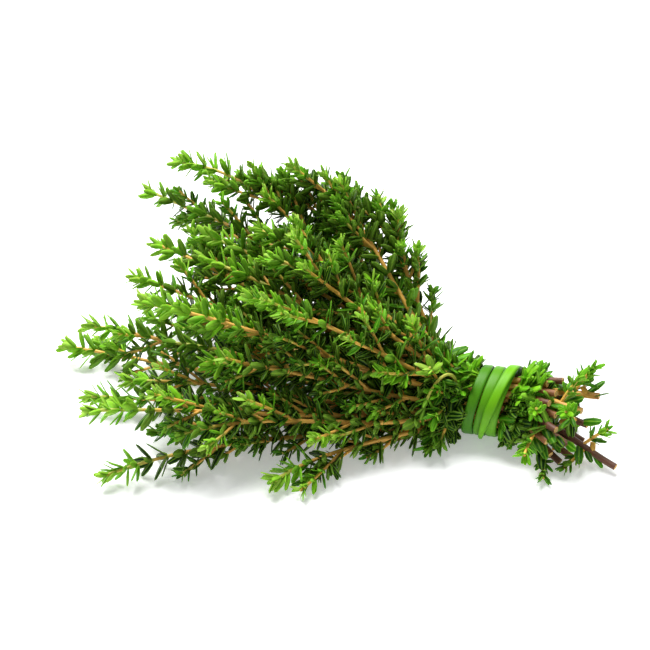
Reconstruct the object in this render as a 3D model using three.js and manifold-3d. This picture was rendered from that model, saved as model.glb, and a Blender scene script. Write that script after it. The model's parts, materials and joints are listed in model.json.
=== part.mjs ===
// A bundle of fresh thyme: leafy sprigs fanned out from a green tie that is wound round their stems.
// Millimetres, +Z up. The sprigs' tips point towards -X and their cut ends towards +X, and the bundle lies on z = 0.
import * as THREE from "three";
import { mergeVertices } from "three/addons/utils/BufferGeometryUtils.js";
import Module from "manifold-3d";

const wasm = await Module();
wasm.setup();
const { Manifold, Mesh: SolidMesh } = wasm;

// Tie: a flat green leaf strip, wound three times and brought back over itself
const TIE_INNER_RADIUS = 13.3;
const TIE_WIDTH = 4.5;
const TIE_THICKNESS = 1.6;
const TIE_TURNS = 3;
const TIE_PITCH = 4.8;
const TIE_SLANT = 3.8; // how far a turn leans towards the cut ends
const TIE_LEAN_ANGLE = 35; // where it leans most, in degrees from +Y over the top
const TIE_STEPS = 16; // straight steps in a turn
const TIE_FIRST_STEP = -2.5; // the strip starts low on the far side, in steps from +Y over the top
const TIE_OVER_STEPS = 13; // steps that the strip's end lies over the turns
const TIE_OVER_SHIFT = -5.5; // and how far that end runs back towards the tips
const TIE_CLEAR = 10.3; // leaves keep this far from the slanted middle of the winding

// Neck: where the stems run through the tie
const NECK_HALF = 13.4;
const NECK_SPLAY = 0.055; // lean of a stem as it leaves the tie, per mm from the bundle's axis
const SLOT_RADIUS = 10.7; // outermost stem in the tie
const SLOT_GAP = 3.5; // least distance between stems in the tie
const AXIS_HEIGHT = (TIE_INNER_RADIUS + TIE_THICKNESS) * Math.cos(Math.PI / TIE_STEPS);

// Stems
const STEM_SIDES = 5;
const CUT_RADIUS = 1.25;
const TIP_RADIUS = 0.6;
const SHOOT_RADIUS = 0.62;
const LOWEST_STEM = 4.6; // height of a stem's middle over the table, out in the fan
const LOWEST_CUT = 2.6;
const PATH_STEPS = 24;
const CUT_STEPS = 6;
const SHOOT_STEPS = 3;
const STEM_RING_EVERY = 3; // path steps between a stem's rings
const CUT_DRIFT = [-0.36, -0.05]; // the cut ends run towards the near side and the table
const CUT_SPREAD = 0.05;
const CUT_SPLAY = 0.035;

// Leaves
const LEAF_LENGTH = 10.8;
const LEAF_WIDTH = 0.35; // of its length
const LEAF_KEEL = 0.85; // depth at the midrib
const LEAF_CURL = 0.1; // how far the tip bends back, of its length
const LEAF_GAP = 0.2; // between leaves of different sprigs
const FIRST_SITE = 1.5; // from the stem's tip
const SITE_GAPS = { first: 3, growth: 0.9, most: 8 };
const CUT_SITES = [0.5, 7, 14, 22]; // of the leaves past the tie, from where the stem leaves it
const TWIST = 40; // degrees that a leaf turns on its own length, at most
const SOLID_RANKS = [0, 2, 5, 9, 14]; // of the pairs of leaves along a stem, from its tip
const SEED = 20411;
const SMALLEST_DETAIL = 0.05;

// Each sprig: spread to the far side and rise, in degrees, and reach from the tie; then how far its tip turns
// sideways and droops, in degrees, and the length of its cut end past the tie.
const SPRIGS = [
  // On the table, from the near side to the far side
  [-36, -5, 97, -14, 3, 14],
  [-25, -3, 158, -12, 2, 18],
  [-17, -2.8, 136, -4, 2, 11],
  [-8, -2.6, 166, 2, 0, 22],
  [2, -2.2, 184, 4, 0, 17],
  [12, -2.6, 160, 3, 0, 26],
  [23, -3, 140, 4, 1, 12],
  // Second layer
  [-20, 5, 162, 6, 6, 22],
  [-12, 4, 148, -3, 4, 13],
  [-2, 5.5, 168, 2, 5, 40],
  [8, 4.5, 150, 0, 5, 12],
  [17, 8, 146, -2, 9, 8],
  [29, 6, 122, 6, 6, 14],
  // Third layer
  [-26, 4, 128, -10, 6, 12],
  [-16, 13, 118, -3, 8, 15],
  [-8, 10, 134, 2, 8, 9],
  [-1, 12, 146, 3, 6, 27],
  [7, 9, 158, 2, 6, 10],
  [14, 11, 156, 6, 10, 19],
  [20, 9, 148, 0, 8, 13],
  [24, 10, 183, -8, 8, 21],
  // Top layer
  [-8, 17, 146, 9, 14, 14],
  [8, 18, 130, 0, 10, 24],
  [15, 17, 138, -2, 12, 8],
  [22, 14, 152, -4, 12, 16],
  [-8, 26, 108, 4, 16, 11],
  [6, 29, 106, 0, 16, 13],
  [16, 25, 118, -2, 16, 9],
  [25, 17.5, 172, -16, 26, 30],
  [28, 21, 144, -20, 28, 12],
  [31, 26, 128, -26, 34, 15],
  [36, 31, 102, -26, 34, 10],
  [36, 15, 112, -20, 16, 12],
];

// Side shoots: the sprig, how far from the tie it leaves the stem (past the tie, towards the cut end, if negative),
// its length, the way round the stem in degrees from +Y over the top, and its angle off the stem.
const SHOOTS = [
  [0, 48, 26, 200, 30],
  [1, 84, 30, 60, 28],
  [3, 92, 30, 120, 28],
  [4, 110, 30, 40, 26],
  [5, 70, 30, 60, 28],
  [7, 96, 30, 110, 26],
  [8, 76, 28, 150, 30],
  [10, 82, 26, 70, 28],
  [12, 60, 28, 330, 30],
  [16, 84, 26, 130, 26],
  [20, 96, 34, 210, 24],
  [22, 70, 26, 80, 26],
  [24, 92, 30, 60, 26],
  [28, 88, 30, 60, 26],
  [28, 112, 28, 200, 24],
  [30, 62, 26, 210, 26],
  [30, 72, 22, 100, 28],
  [26, 66, 24, 80, 30],
  [1, -13, 17, 200, 128],
  [13, -8, 16, 175, 118],
  [9, -28, 13, 60, 110],
  [9, -30, 14, 210, 80],
  [14, -8, 14, 120, 105],
  [16, -24, 14, 130, 80],
  [12, -9, 15, 350, 115],
  [22, -16, 14, 60, 110],
  [28, -20, 14, 70, 122],
  [3, -17, 14, 265, 100],
  [5, -18, 15, 300, 100],
];

// One shoot is bent over in an arch beside the tie: its sprig, and four Bezier points from where that stem leaves the neck.
const ARCH = { sprig: 25, points: [[0, 0, 0], [-1, -1, 13], [-9, -8, 13], [-12, -14, -6]], steps: 8, leafy: 9 };

const LEAF_COLOUR = 0x3f8f1f;
const TIE_COLOUR = 0x4fc01a;

// Park and Miller's generator, which gives the same draws in any language.
class Draw {
  constructor(seed) {
    this.state = seed % 2147483647;
    for (let i = 0; i < 3; i++) this.next();
  }

  next() {
    this.state = (this.state * 16807) % 2147483647;
    return this.state / 2147483647;
  }

  around(middle, spread) {
    return middle + (2 * this.next() - 1) * spread;
  }
}

const radians = THREE.MathUtils.degToRad;
const vector = (x, y, z) => new THREE.Vector3(x, y, z);
const moved = (from, along, by) => from.clone().addScaledVector(along, by);
const above = (p, lowest) => vector(p.x, p.y, Math.max(p.z, lowest));

function heading(spread, rise) {
  const [a, e] = [radians(spread), radians(rise)];
  return vector(-Math.cos(e) * Math.cos(a), Math.cos(e) * Math.sin(a), Math.sin(e));
}

// Where each stem passes the tie: on the side of its own tip, pushed apart until all are SLOT_GAP clear.
function packSlots() {
  const slots = SPRIGS.map(
    ([spread, rise]) => new THREE.Vector2(17 * Math.tan(radians(spread)), 24 * Math.tan(radians(rise - 9))),
  );
  for (let round = 0; round < 200; round++) {
    slots.forEach((a, i) => {
      for (const b of slots.slice(0, i)) {
        const between = a.clone().sub(b);
        const distance = between.length();
        if (distance >= SLOT_GAP) continue;
        between.multiplyScalar((0.5 * (SLOT_GAP - distance)) / distance);
        a.add(between);
        b.sub(between);
      }
    });
    for (const slot of slots) {
      if (slot.length() > SLOT_RADIUS) slot.setLength(SLOT_RADIUS);
    }
  }
  return slots;
}

// A stem's middle line from its cut end, through the tie, to its tip, as a list of points.
function stemPath([spread, rise, reach, bend, droop, cutEnd], slot, draw) {
  const left = vector(-NECK_HALF, slot.x, AXIS_HEIGHT + slot.y);
  const right = vector(NECK_HALF, slot.x, AXIS_HEIGHT + slot.y);
  const lean = vector(-1, slot.x * NECK_SPLAY, slot.y * NECK_SPLAY).normalize();
  const tip = moved(vector(0, 0, AXIS_HEIGHT), heading(spread, rise), reach);
  const pull = 0.36 * tip.distanceTo(left);
  const fan = new THREE.CubicBezierCurve3(
    left,
    above(moved(left, lean, pull), LOWEST_STEM),
    above(moved(tip, heading(spread + bend, rise - droop), -pull), LOWEST_STEM),
    above(tip, LOWEST_STEM),
  );
  const sideways = cutEnd * (draw.around(CUT_DRIFT[0], CUT_SPREAD) + slot.x * CUT_SPLAY);
  const upwards = cutEnd * (draw.around(CUT_DRIFT[1], CUT_SPREAD) + slot.y * CUT_SPLAY);
  const end = above(vector(right.x + cutEnd, right.y + sideways, right.z + upwards), LOWEST_CUT);
  const cut = new THREE.CubicBezierCurve3(
    end,
    above(vector(end.x - 0.35 * cutEnd, end.y - 0.35 * sideways, end.z - 0.35 * upwards), LOWEST_CUT),
    above(vector(right.x + 0.3 * cutEnd, right.y, right.z), LOWEST_CUT),
    right,
  );
  return [...cut.getPoints(CUT_STEPS), ...fan.getPoints(PATH_STEPS)];
}

// A twig is a stem or a side shoot: its path with the running length, and its radius at each end.
function twig(sprig, path, radii, number) {
  const lengths = [0];
  for (let i = 1; i < path.length; i++) lengths.push(lengths[i - 1] + path[i].distanceTo(path[i - 1]));
  return { sprig, path, lengths, length: lengths.at(-1), radii, number };
}

// The point at a running length, with the stem's direction and two directions across it.
function along(stem, length) {
  const { path, lengths } = stem;
  let i = 1;
  while (i < path.length - 1 && lengths[i] < length) i++;
  const share = (length - lengths[i - 1]) / (lengths[i] - lengths[i - 1]);
  const direction = path[i].clone().sub(path[i - 1]).normalize();
  const side = direction.clone().cross(vector(0, 0, 1)).normalize();
  return {
    point: path[i - 1].clone().lerp(path[i], share),
    direction,
    side,
    up: side.clone().cross(direction),
  };
}

const around = (frame, angle) =>
  frame.side.clone().multiplyScalar(Math.cos(angle)).addScaledVector(frame.up, Math.sin(angle));

const radiusAt = (stem, length) =>
  stem.radii[0] + (stem.radii[1] - stem.radii[0]) * (length / stem.length);

// What must stay clear of what: a convex set of corners, the directions to look along, and a margin round it.
function obstacle(corners, directions, margin, sprig) {
  const centre = vector(0, 0, 0);
  for (const corner of corners) centre.addScaledVector(corner, 1 / corners.length);
  const radius = margin + Math.max(...corners.map((corner) => corner.distanceTo(centre)));
  return { corners, directions, margin, sprig, centre, radius };
}

function gapAlong(direction, a, b) {
  const onA = a.corners.map((corner) => corner.dot(direction));
  const onB = b.corners.map((corner) => corner.dot(direction));
  const gap = Math.max(Math.min(...onB) - Math.max(...onA), Math.min(...onA) - Math.max(...onB));
  return gap - a.margin - b.margin;
}

function clear(a, b) {
  if (a.centre.distanceTo(b.centre) > a.radius + b.radius + LEAF_GAP) return true;
  const tried = [...a.directions, ...b.directions, a.centre.clone().sub(b.centre)];
  for (const one of a.directions) for (const other of b.directions) tried.push(one.clone().cross(other));
  return tried.some((d) => d.length() > 1e-3 && gapAlong(d.clone().normalize(), a, b) > LEAF_GAP);
}

function stemObstacles(stem) {
  return stem.path.slice(1).map((point, i) => {
    const frame = along(stem, 0.5 * (stem.lengths[i] + stem.lengths[i + 1]));
    const radius = radiusAt(stem, stem.lengths[i]);
    return obstacle([stem.path[i], point], [frame.direction, frame.side, frame.up], radius, stem.sprig);
  });
}

// One leaf blade: a point sunk in the stem, its widest place, flat above and keeled below, a narrower place, and a tip.
function bladeCorners({ base, out, face, length }) {
  const across = out.clone().cross(face);
  const half = 0.5 * LEAF_WIDTH * length;
  const middle = (t) => moved(moved(base, out, t * length), face, -LEAF_CURL * length * t * t);
  const wide = moved(middle(0.42), across, half);
  const narrow = moved(middle(0.42), across, -half);
  const keel = moved(middle(0.42), face, -LEAF_KEEL);
  return [base, wide, narrow, keel, moved(middle(0.78), across, 0.7 * half), moved(middle(0.78), across, -0.7 * half), middle(1)];
}

const BLADE_FACES = [
  [0, 1, 2], [1, 4, 5], [1, 5, 2], [4, 6, 5], [0, 3, 1],
  [0, 2, 3], [1, 3, 4], [2, 5, 3], [3, 6, 4], [3, 5, 6],
];

// A leaf grows from the stem's middle at an angle round it, opened away from the stem's direction.
function leafAt(stem, length, { angle, open, size, twist }) {
  const frame = along(stem, length);
  const outward = around(frame, angle);
  const out = frame.direction.clone().multiplyScalar(Math.cos(open)).addScaledVector(outward, Math.sin(open));
  const face = frame.direction.clone().multiplyScalar(Math.sin(open)).addScaledVector(outward, -Math.cos(open));
  face.applyAxisAngle(out, twist);
  const leaf = { base: moved(frame.point, out, -0.3), out, face, length: size };
  const corners = bladeCorners(leaf);
  return { ...leaf, corners, block: obstacle(corners, [out, face, out.clone().cross(face)], 0, stem.sprig) };
}

// How far the winding leans at an angle round the neck.
const slantAt = (angle) => TIE_SLANT * Math.cos(angle - radians(TIE_LEAN_ANGLE));

// Ways to bend a leaf clear of its neighbours, from the natural one on: turn, opening and size.
const BENDS = [
  [0, 1, 1],
  [18, 0.8, 1],
  [-18, 0.8, 1],
  [0, 0.6, 0.92],
  [34, 0.6, 0.85],
  [-34, 0.6, 0.85],
  [0, 0.38, 0.8],
];

function clearLeaf(stem, length, wished, blocks) {
  for (const [turn, closing, shrink] of BENDS) {
    const leaf = leafAt(stem, length, {
      angle: wished.angle + radians(turn),
      open: wished.open * closing,
      size: wished.size * shrink,
      twist: wished.twist,
    });
    const onTable = leaf.corners.every((corner) => corner.z > 0.1);
    const offTie = leaf.corners.every((corner) => Math.abs(corner.x - slantAt(Math.atan2(corner.z - AXIS_HEIGHT, corner.y))) > TIE_CLEAR);
    if (!onTable || !offTie) continue;
    if (blocks.every((other) => other.sprig === stem.sprig || clear(leaf.block, other))) return leaf;
  }
  return null;
}

// Distances from the stem's tip at which a pair of leaves grows.
function leafSites(leafyLength) {
  const sites = [];
  for (let at = FIRST_SITE; at < leafyLength; ) {
    sites.push(at);
    at += Math.min(SITE_GAPS.most, SITE_GAPS.first + SITE_GAPS.growth * (sites.length - 1));
  }
  return sites;
}

// A pair of leaves on a twig, each bent clear of what is already there.
function growPair(stem, { length, rank, size, open }, blocks) {
  const draw = new Draw(SEED + 7919 * (stem.number + 1) + 131 * rank);
  const turn = radians(stem.firstTurn + 90 * rank) + draw.around(0, 0.25);
  const grown = [];
  for (const half of [0, 1]) {
    const wished = {
      angle: turn + half * Math.PI,
      open: radians(draw.around(open, 8)),
      size: LEAF_LENGTH * stem.leafScale * size * draw.around(1, 0.12),
      twist: radians(draw.around(0, TWIST)),
    };
    const leaf = clearLeaf(stem, length, wished, blocks);
    if (leaf) grown.push(leaf);
  }
  return grown;
}

// The pairs of a twig: small and closed at the tip, then larger and more open, and splayed past the tie.
function leafPairs(stem) {
  const pairs = [];
  leafSites(stem.leafy).forEach((site, rank) => {
    if (!SOLID_RANKS.includes(rank)) return;
    const size = Math.min(1, 0.6 + 0.08 * rank);
    pairs.push({ length: stem.length - site, rank, size, open: 30 + 5 * Math.min(rank, 6) });
  });
  stem.cutSites.forEach((site, i) => {
    pairs.push({ length: site, rank: 40 + i, size: 0.9, open: 65 });
  });
  return pairs;
}

function sideShoot(sprig, path, i) {
  const shoot = twig(sprig, path, [SHOOT_RADIUS, SHOOT_RADIUS * 0.85], SPRIGS.length + i);
  return { ...shoot, leafy: shoot.length - 4, leafScale: 0.8, firstTurn: 25 + 50 * i, cutSites: [], isShoot: true };
}

// Every stem and side shoot, then the leaves, worked in from the tips of all of them at once.
function growBundle() {
  const slots = packSlots();
  const stems = SPRIGS.map((sprig, i) => {
    const path = stemPath(sprig, slots[i], new Draw(SEED + 101 * i));
    const stem = twig(i, path, [CUT_RADIUS, TIP_RADIUS], i);
    const fanLength = stem.length - stem.lengths[CUT_STEPS + 1];
    const cutSites = CUT_SITES.map((site) => stem.lengths[CUT_STEPS] - site).filter((length) => length > 4);
    return { ...stem, leafy: fanLength - 4, leafScale: 1, firstTurn: 40 + 37 * i, cutSites };
  });
  const blocks = stems.flatMap(stemObstacles);
  const shoots = SHOOTS.map(([sprig, from, length, angle, open], i) => {
    const stem = stems[sprig];
    const neck = stem.lengths[CUT_STEPS + 1];
    const frame = along(stem, from > 0 ? neck + from : stem.lengths[CUT_STEPS] + from);
    const start = frame.point;
    const outward = around(frame, radians(angle));
    const leaving = moved(outward.multiplyScalar(Math.sin(radians(open))), frame.direction, Math.cos(radians(open)));
    const ending = moved(leaving, frame.direction, from > 0 ? 0.35 : -0.2).normalize();
    const middle = above(moved(start, leaving, 0.5 * length), LOWEST_CUT);
    const tip = above(moved(middle, ending, 0.5 * length), LOWEST_CUT);
    return sideShoot(sprig, new THREE.QuadraticBezierCurve3(start, middle, tip).getPoints(SHOOT_STEPS), i);
  });
  const archStart = stems[ARCH.sprig].path[CUT_STEPS + 1];
  const archCorners = ARCH.points.map(([x, y, z]) => archStart.clone().add(vector(x, y, z)));
  const arch = sideShoot(ARCH.sprig, new THREE.CubicBezierCurve3(...archCorners).getPoints(ARCH.steps), SHOOTS.length);
  shoots.push({ ...arch, leafy: ARCH.leafy });
  for (const shoot of shoots) {
    const met = stemObstacles(shoot).some((own) => blocks.some((other) => other.sprig !== own.sprig && !clear(own, other)));
    if (met) throw new Error(`side shoot ${shoot.number - SPRIGS.length} runs into another sprig`);
  }
  blocks.push(...shoots.flatMap(stemObstacles));
  const twigs = [...stems, ...shoots];
  const pairs = twigs.map(leafPairs);
  const leaves = twigs.map(() => []);
  const mostPairs = Math.max(...pairs.map((list) => list.length));
  for (let turn = 0; turn < mostPairs; turn++) {
    twigs.forEach((stem, i) => {
      if (turn >= pairs[i].length) return;
      const grown = growPair(stem, pairs[i][turn], blocks);
      leaves[i].push(...grown);
      blocks.push(...grown.map((leaf) => leaf.block));
    });
  }
  return { twigs, leaves };
}

function geometryOf(corners, faces) {
  const geometry = new THREE.BufferGeometry().setFromPoints(corners);
  return geometry.setIndex(faces.flat());
}

// A closed skin over rings of corners, each ring the same number of corners, with both ends capped.
function skin(rings) {
  const sides = rings[0].length;
  const faces = [];
  for (let i = 1; i < rings.length; i++) {
    for (let j = 0; j < sides; j++) {
      const [a, b] = [(i - 1) * sides + j, (i - 1) * sides + ((j + 1) % sides)];
      faces.push([a, a + sides, b], [b, a + sides, b + sides]);
    }
  }
  const last = (rings.length - 1) * sides;
  for (let j = 1; j < sides - 1; j++) {
    faces.push([0, j, j + 1], [last, last + j + 1, last + j]);
  }
  return geometryOf(rings.flat(), faces);
}

function stemGeometry(stem) {
  const neck = CUT_STEPS + 1;
  const kept = stem.path.map((_, i) => i).filter((i) => stem.isShoot || (i < neck ? i : i - neck) % STEM_RING_EVERY === 0);
  const rings = kept.map((i) => {
    const frame = along(stem, stem.lengths[i]);
    const radius = radiusAt(stem, stem.lengths[i]);
    return Array.from({ length: STEM_SIDES }, (_, j) =>
      moved(stem.path[i], around(frame, (2 * Math.PI * j) / STEM_SIDES), radius),
    );
  });
  return skin(rings);
}

// The strip's path round the neck in steps: angle from +Y over the top, place along X, and radius of its inner face.
function tieStations() {
  const stations = [];
  const wound = TIE_TURNS * TIE_STEPS;
  for (let step = 0; step <= wound + TIE_OVER_STEPS; step++) {
    const over = Math.max(0, step - wound);
    const angle = (2 * Math.PI * (step + TIE_FIRST_STEP)) / TIE_STEPS;
    const x = TIE_PITCH * (Math.min(step, wound) / TIE_STEPS - TIE_TURNS / 2) + (TIE_OVER_SHIFT * over) / TIE_OVER_STEPS;
    const radius = TIE_INNER_RADIUS + 0.9 * TIE_THICKNESS * Math.min(1, over);
    stations.push({ angle, x: x + slantAt(angle), radius });
  }
  return stations;
}

function tieSection({ angle, x, radius }) {
  const corner = (across, depth) => {
    const r = radius + depth * TIE_THICKNESS;
    return vector(x + across * TIE_WIDTH, r * Math.cos(angle), AXIS_HEIGHT + r * Math.sin(angle));
  };
  return [
    corner(-0.5, 0.5),
    corner(-0.34, 1),
    corner(0.34, 1),
    corner(0.5, 0.5),
    corner(0.34, 0),
    corner(-0.34, 0),
  ];
}

// Each stretch of the strip is a solid of its own before the stretches are joined, because the end crosses the turns.
function tieGeometries() {
  const stations = tieStations().map(tieSection);
  const wound = TIE_TURNS * TIE_STEPS;
  return [skin(stations.slice(0, wound + 1)), skin(stations.slice(wound))];
}

function solidOf(geometry) {
  const merged = mergeVertices(geometry, 1e-5);
  return new Manifold(
    new SolidMesh({
      numProp: 3,
      vertProperties: merged.attributes.position.array,
      triVerts: new Uint32Array(merged.index.array),
    }),
  );
}

// The union of closed geometries as one named mesh.
function joined(name, geometries, colour) {
  const solid = Manifold.union(geometries.map(solidOf)).asOriginal().simplify(SMALLEST_DETAIL);
  const mesh = solid.getMesh();
  const geometry = new THREE.BufferGeometry();
  geometry.setAttribute("position", new THREE.BufferAttribute(mesh.vertProperties, 3));
  geometry.setIndex(new THREE.BufferAttribute(mesh.triVerts, 1));
  geometry.computeVertexNormals();
  const material = new THREE.MeshStandardMaterial({ color: colour, roughness: 0.55, metalness: 0 });
  const part = new THREE.Mesh(geometry, material);
  part.name = name;
  return part;
}

const { twigs, leaves } = growBundle();
const bundle = new THREE.Group();
SPRIGS.forEach((_, sprig) => {
  const geometries = twigs.flatMap((stem, i) =>
    stem.sprig === sprig ? [stemGeometry(stem), ...leaves[i].map((leaf) => geometryOf(leaf.corners, BLADE_FACES))] : [],
  );
  bundle.add(joined(`sprig_${String(sprig + 1).padStart(2, "0")}`, geometries, LEAF_COLOUR));
});
bundle.add(joined("tie", tieGeometries(), TIE_COLOUR));

bundle.updateMatrixWorld(true);
const extent = new THREE.Box3().setFromObject(bundle, true);
const middle = extent.getCenter(new THREE.Vector3());
bundle.position.set(-middle.x, -middle.y, -extent.min.z);
export default bundle;
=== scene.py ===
"""A bundle of fresh thyme on a pale surface, tied with a green leaf strip. Lengths are in metres, +Z is up."""

import json
import math

import bpy
import numpy as np
from mathutils import Matrix, Vector

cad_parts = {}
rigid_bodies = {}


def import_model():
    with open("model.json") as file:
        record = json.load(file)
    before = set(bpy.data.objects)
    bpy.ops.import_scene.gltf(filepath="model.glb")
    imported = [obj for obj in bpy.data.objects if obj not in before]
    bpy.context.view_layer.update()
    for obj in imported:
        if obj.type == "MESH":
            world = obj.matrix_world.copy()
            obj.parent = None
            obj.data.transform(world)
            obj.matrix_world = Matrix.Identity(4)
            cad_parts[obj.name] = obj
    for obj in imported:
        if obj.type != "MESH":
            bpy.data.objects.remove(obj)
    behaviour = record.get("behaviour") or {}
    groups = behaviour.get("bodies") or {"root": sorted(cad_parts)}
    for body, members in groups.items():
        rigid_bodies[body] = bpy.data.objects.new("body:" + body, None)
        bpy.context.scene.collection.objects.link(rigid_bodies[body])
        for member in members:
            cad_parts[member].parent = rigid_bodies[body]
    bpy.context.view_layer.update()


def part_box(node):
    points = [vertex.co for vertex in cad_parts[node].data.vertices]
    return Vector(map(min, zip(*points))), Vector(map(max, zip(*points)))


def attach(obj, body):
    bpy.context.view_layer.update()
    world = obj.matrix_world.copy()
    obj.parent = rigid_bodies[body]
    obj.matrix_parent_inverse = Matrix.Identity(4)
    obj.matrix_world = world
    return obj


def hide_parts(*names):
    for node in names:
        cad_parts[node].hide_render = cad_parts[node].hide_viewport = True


bl_info = {
    "name": "Thyme Bundle",
    "version": (1, 0, 0),
    "blender": (4, 5, 0),
    "location": "View3D > Sidebar > Thyme",
    "description": "Builds a tied bundle of thyme sprigs with its leaves, stems, tie and a plain stage",
    "category": "Add Mesh",
}

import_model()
MM = 0.001

# The solids' layout, in millimetres with the tie's middle over the origin: the same values as the part's source.
TIE_INNER_RADIUS = 13.3
TIE_WIDTH = 4.5
TIE_THICKNESS = 1.6
TIE_TURNS = 3
TIE_PITCH = 4.8
TIE_SLANT = 3.8
TIE_LEAN_ANGLE = 35
TIE_STEPS = 16
TIE_FIRST_STEP = -2.5
TIE_OVER_STEPS = 13
TIE_OVER_SHIFT = -5.5
TIE_CLEAR = 10.3
NECK_HALF = 13.4
NECK_SPLAY = 0.055
SLOT_RADIUS = 10.7
SLOT_GAP = 3.5
SLOT_SPREAD = 17  # how far a stem's slot lies to the side and up, for its heading's slopes
SLOT_RISE = 24
SLOT_RISE_MIDDLE = 9
SLOT_ROUNDS = 200
AXIS_HEIGHT = (TIE_INNER_RADIUS + TIE_THICKNESS) * math.cos(math.pi / TIE_STEPS)
CUT_RADIUS = 1.25
TIP_RADIUS = 0.6
SHOOT_RADIUS = 0.62
LOWEST_STEM = 4.6
LOWEST_CUT = 2.6
PATH_STEPS = 24
CUT_STEPS = 6
SHOOT_STEPS = 3
CUT_DRIFT = (-0.36, -0.05)
CUT_SPREAD = 0.05
CUT_SPLAY = 0.035
FAN_PULL = 0.36  # length of a stem curve's end tangents against its reach, and of those of its cut end
CUT_PULLS = (0.35, 0.3)
BARE_BASE = 4  # nothing grows on the last stretch of a twig before its base
# How a shoot bends on along its stem, or back from it on the cut end; how it tapers, and its leaves' size
SHOOT_BENDING = {"fan": 0.35, "cut_end": -0.2, "spray": 0.2, "stub": 0}
SHOOT_TAPER = 0.85
SHOOT_LEAF = 0.8
SPRAY_LEAF = 1.05
# Which way round the first pair of leaves looks on the first stem, and how much further on each next one, in degrees
STEM_TURNS = (40, 37)
SHOOT_TURNS = (25, 50)
LEAF_LENGTH = 10.8
LEAF_WIDTH = 0.35
LEAF_CURL = 0.1
LEAF_ROOT = 0.3  # how deep the base of a leaf is in its stem
# Half the range of a pair's turn in radians, and of a leaf's opening in degrees and its size
PAIR_SPREADS = {"turn": 0.25, "opening": 8, "size": 0.12}
FIRST_SITE = 1.5
SITE_GAPS = {"first": 3, "growth": 0.9, "most": 8}
CUT_SITES = (0.5, 7, 14, 22)
SOLID_RANKS = (0, 2, 5, 9, 14)
TWIST = 40
TIP_LEAF = 0.6  # size of the leaves at a tip, and how much each pair gains on the next
LEAF_GROWTH = 0.08
CUT_LEAF = 0.9
TIP_OPENING = 30  # degrees between a leaf and its stem at the tip, and how much each pair gains, up to a limit
OPENING_STEP = 5
OPENING_STEPS = 6
CUT_OPENING = 65
SEED = 20411
# Steps between the seeds: from stem to stem, for its path and its further shoots, from twig to twig and from pair to
# pair; then what is added for the small leaves, the leaves beside the tie, the blades and the strip
STEM_SEEDS = 101
FILLER_SEEDS = 7001
TWIG_SEEDS = 7919
PAIR_SEEDS = 131
AXIL_SEED = 104729
CUFF_SEED = 15485863
BLADE_SEED = 5
STRIP_SEED = 77
CUT_RANK = 40  # a twig's sites are ranked from its tip; those on the cut end and beside the tie from these ranks on
CUFF_RANK = 60
RANKS_EACH = 100

# Spread to the far side and rise in degrees, reach, then the tip's sideways turn and droop, and the cut end's length
SPRIGS = (
    # On the table, from the near side to the far side
    (-36, -5, 97, -14, 3, 14),
    (-25, -3, 158, -12, 2, 18),
    (-17, -2.8, 136, -4, 2, 11),
    (-8, -2.6, 166, 2, 0, 22),
    (2, -2.2, 184, 4, 0, 17),
    (12, -2.6, 160, 3, 0, 26),
    (23, -3, 140, 4, 1, 12),
    # Second layer
    (-20, 5, 162, 6, 6, 22),
    (-12, 4, 148, -3, 4, 13),
    (-2, 5.5, 168, 2, 5, 40),
    (8, 4.5, 150, 0, 5, 12),
    (17, 8, 146, -2, 9, 8),
    (29, 6, 122, 6, 6, 14),
    # Third layer
    (-26, 4, 128, -10, 6, 12),
    (-16, 13, 118, -3, 8, 15),
    (-8, 10, 134, 2, 8, 9),
    (-1, 12, 146, 3, 6, 27),
    (7, 9, 158, 2, 6, 10),
    (14, 11, 156, 6, 10, 19),
    (20, 9, 148, 0, 8, 13),
    (24, 10, 183, -8, 8, 21),
    # Top layer
    (-8, 17, 146, 9, 14, 14),
    (8, 18, 130, 0, 10, 24),
    (15, 17, 138, -2, 12, 8),
    (22, 14, 152, -4, 12, 16),
    (-8, 26, 108, 4, 16, 11),
    (6, 29, 106, 0, 16, 13),
    (16, 25, 118, -2, 16, 9),
    (25, 17.5, 172, -16, 26, 30),
    (28, 21, 144, -20, 28, 12),
    (31, 26, 128, -26, 34, 15),
    (36, 31, 102, -26, 34, 10),
    (36, 15, 112, -20, 16, 12),
)
LAYERS = {
    "table_near": range(0, 4),
    "table_far": range(4, 7),
    "second_near": range(7, 10),
    "second_far": range(10, 13),
    "third_near": range(13, 17),
    "third_far": range(17, 21),
    "top_near": range(21, 24),
    "top_middle": range(24, 27),
    "top_far": range(27, 30),
    "top_outer": range(30, 33),
}

# Sprig, where along it, length, way round the stem and angle off it in degrees
SHOOTS = (
    (0, 48, 26, 200, 30),
    (1, 84, 30, 60, 28),
    (3, 92, 30, 120, 28),
    (4, 110, 30, 40, 26),
    (5, 70, 30, 60, 28),
    (7, 96, 30, 110, 26),
    (8, 76, 28, 150, 30),
    (10, 82, 26, 70, 28),
    (12, 60, 28, 330, 30),
    (16, 84, 26, 130, 26),
    (20, 96, 34, 210, 24),
    (22, 70, 26, 80, 26),
    (24, 92, 30, 60, 26),
    (28, 88, 30, 60, 26),
    (28, 112, 28, 200, 24),
    (30, 62, 26, 210, 26),
    (30, 72, 22, 100, 28),
    (26, 66, 24, 80, 30),
    (1, -13, 17, 200, 128),
    (13, -8, 16, 175, 118),
    (9, -28, 13, 60, 110),
    (9, -30, 14, 210, 80),
    (14, -8, 14, 120, 105),
    (16, -24, 14, 130, 80),
    (12, -9, 15, 350, 115),
    (22, -16, 14, 60, 110),
    (28, -20, 14, 70, 122),
    (3, -17, 14, 265, 100),
    (5, -18, 15, 300, 100),
)

# The shoot that is bent over beside the tie: its sprig, and four Bezier points from where that stem leaves the neck
ARCH = {"sprig": 25, "points": ((0, 0, 0), (-1, -1, 13), (-9, -8, 13), (-12, -14, -6)), "steps": 8, "leafy": 9}

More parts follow.
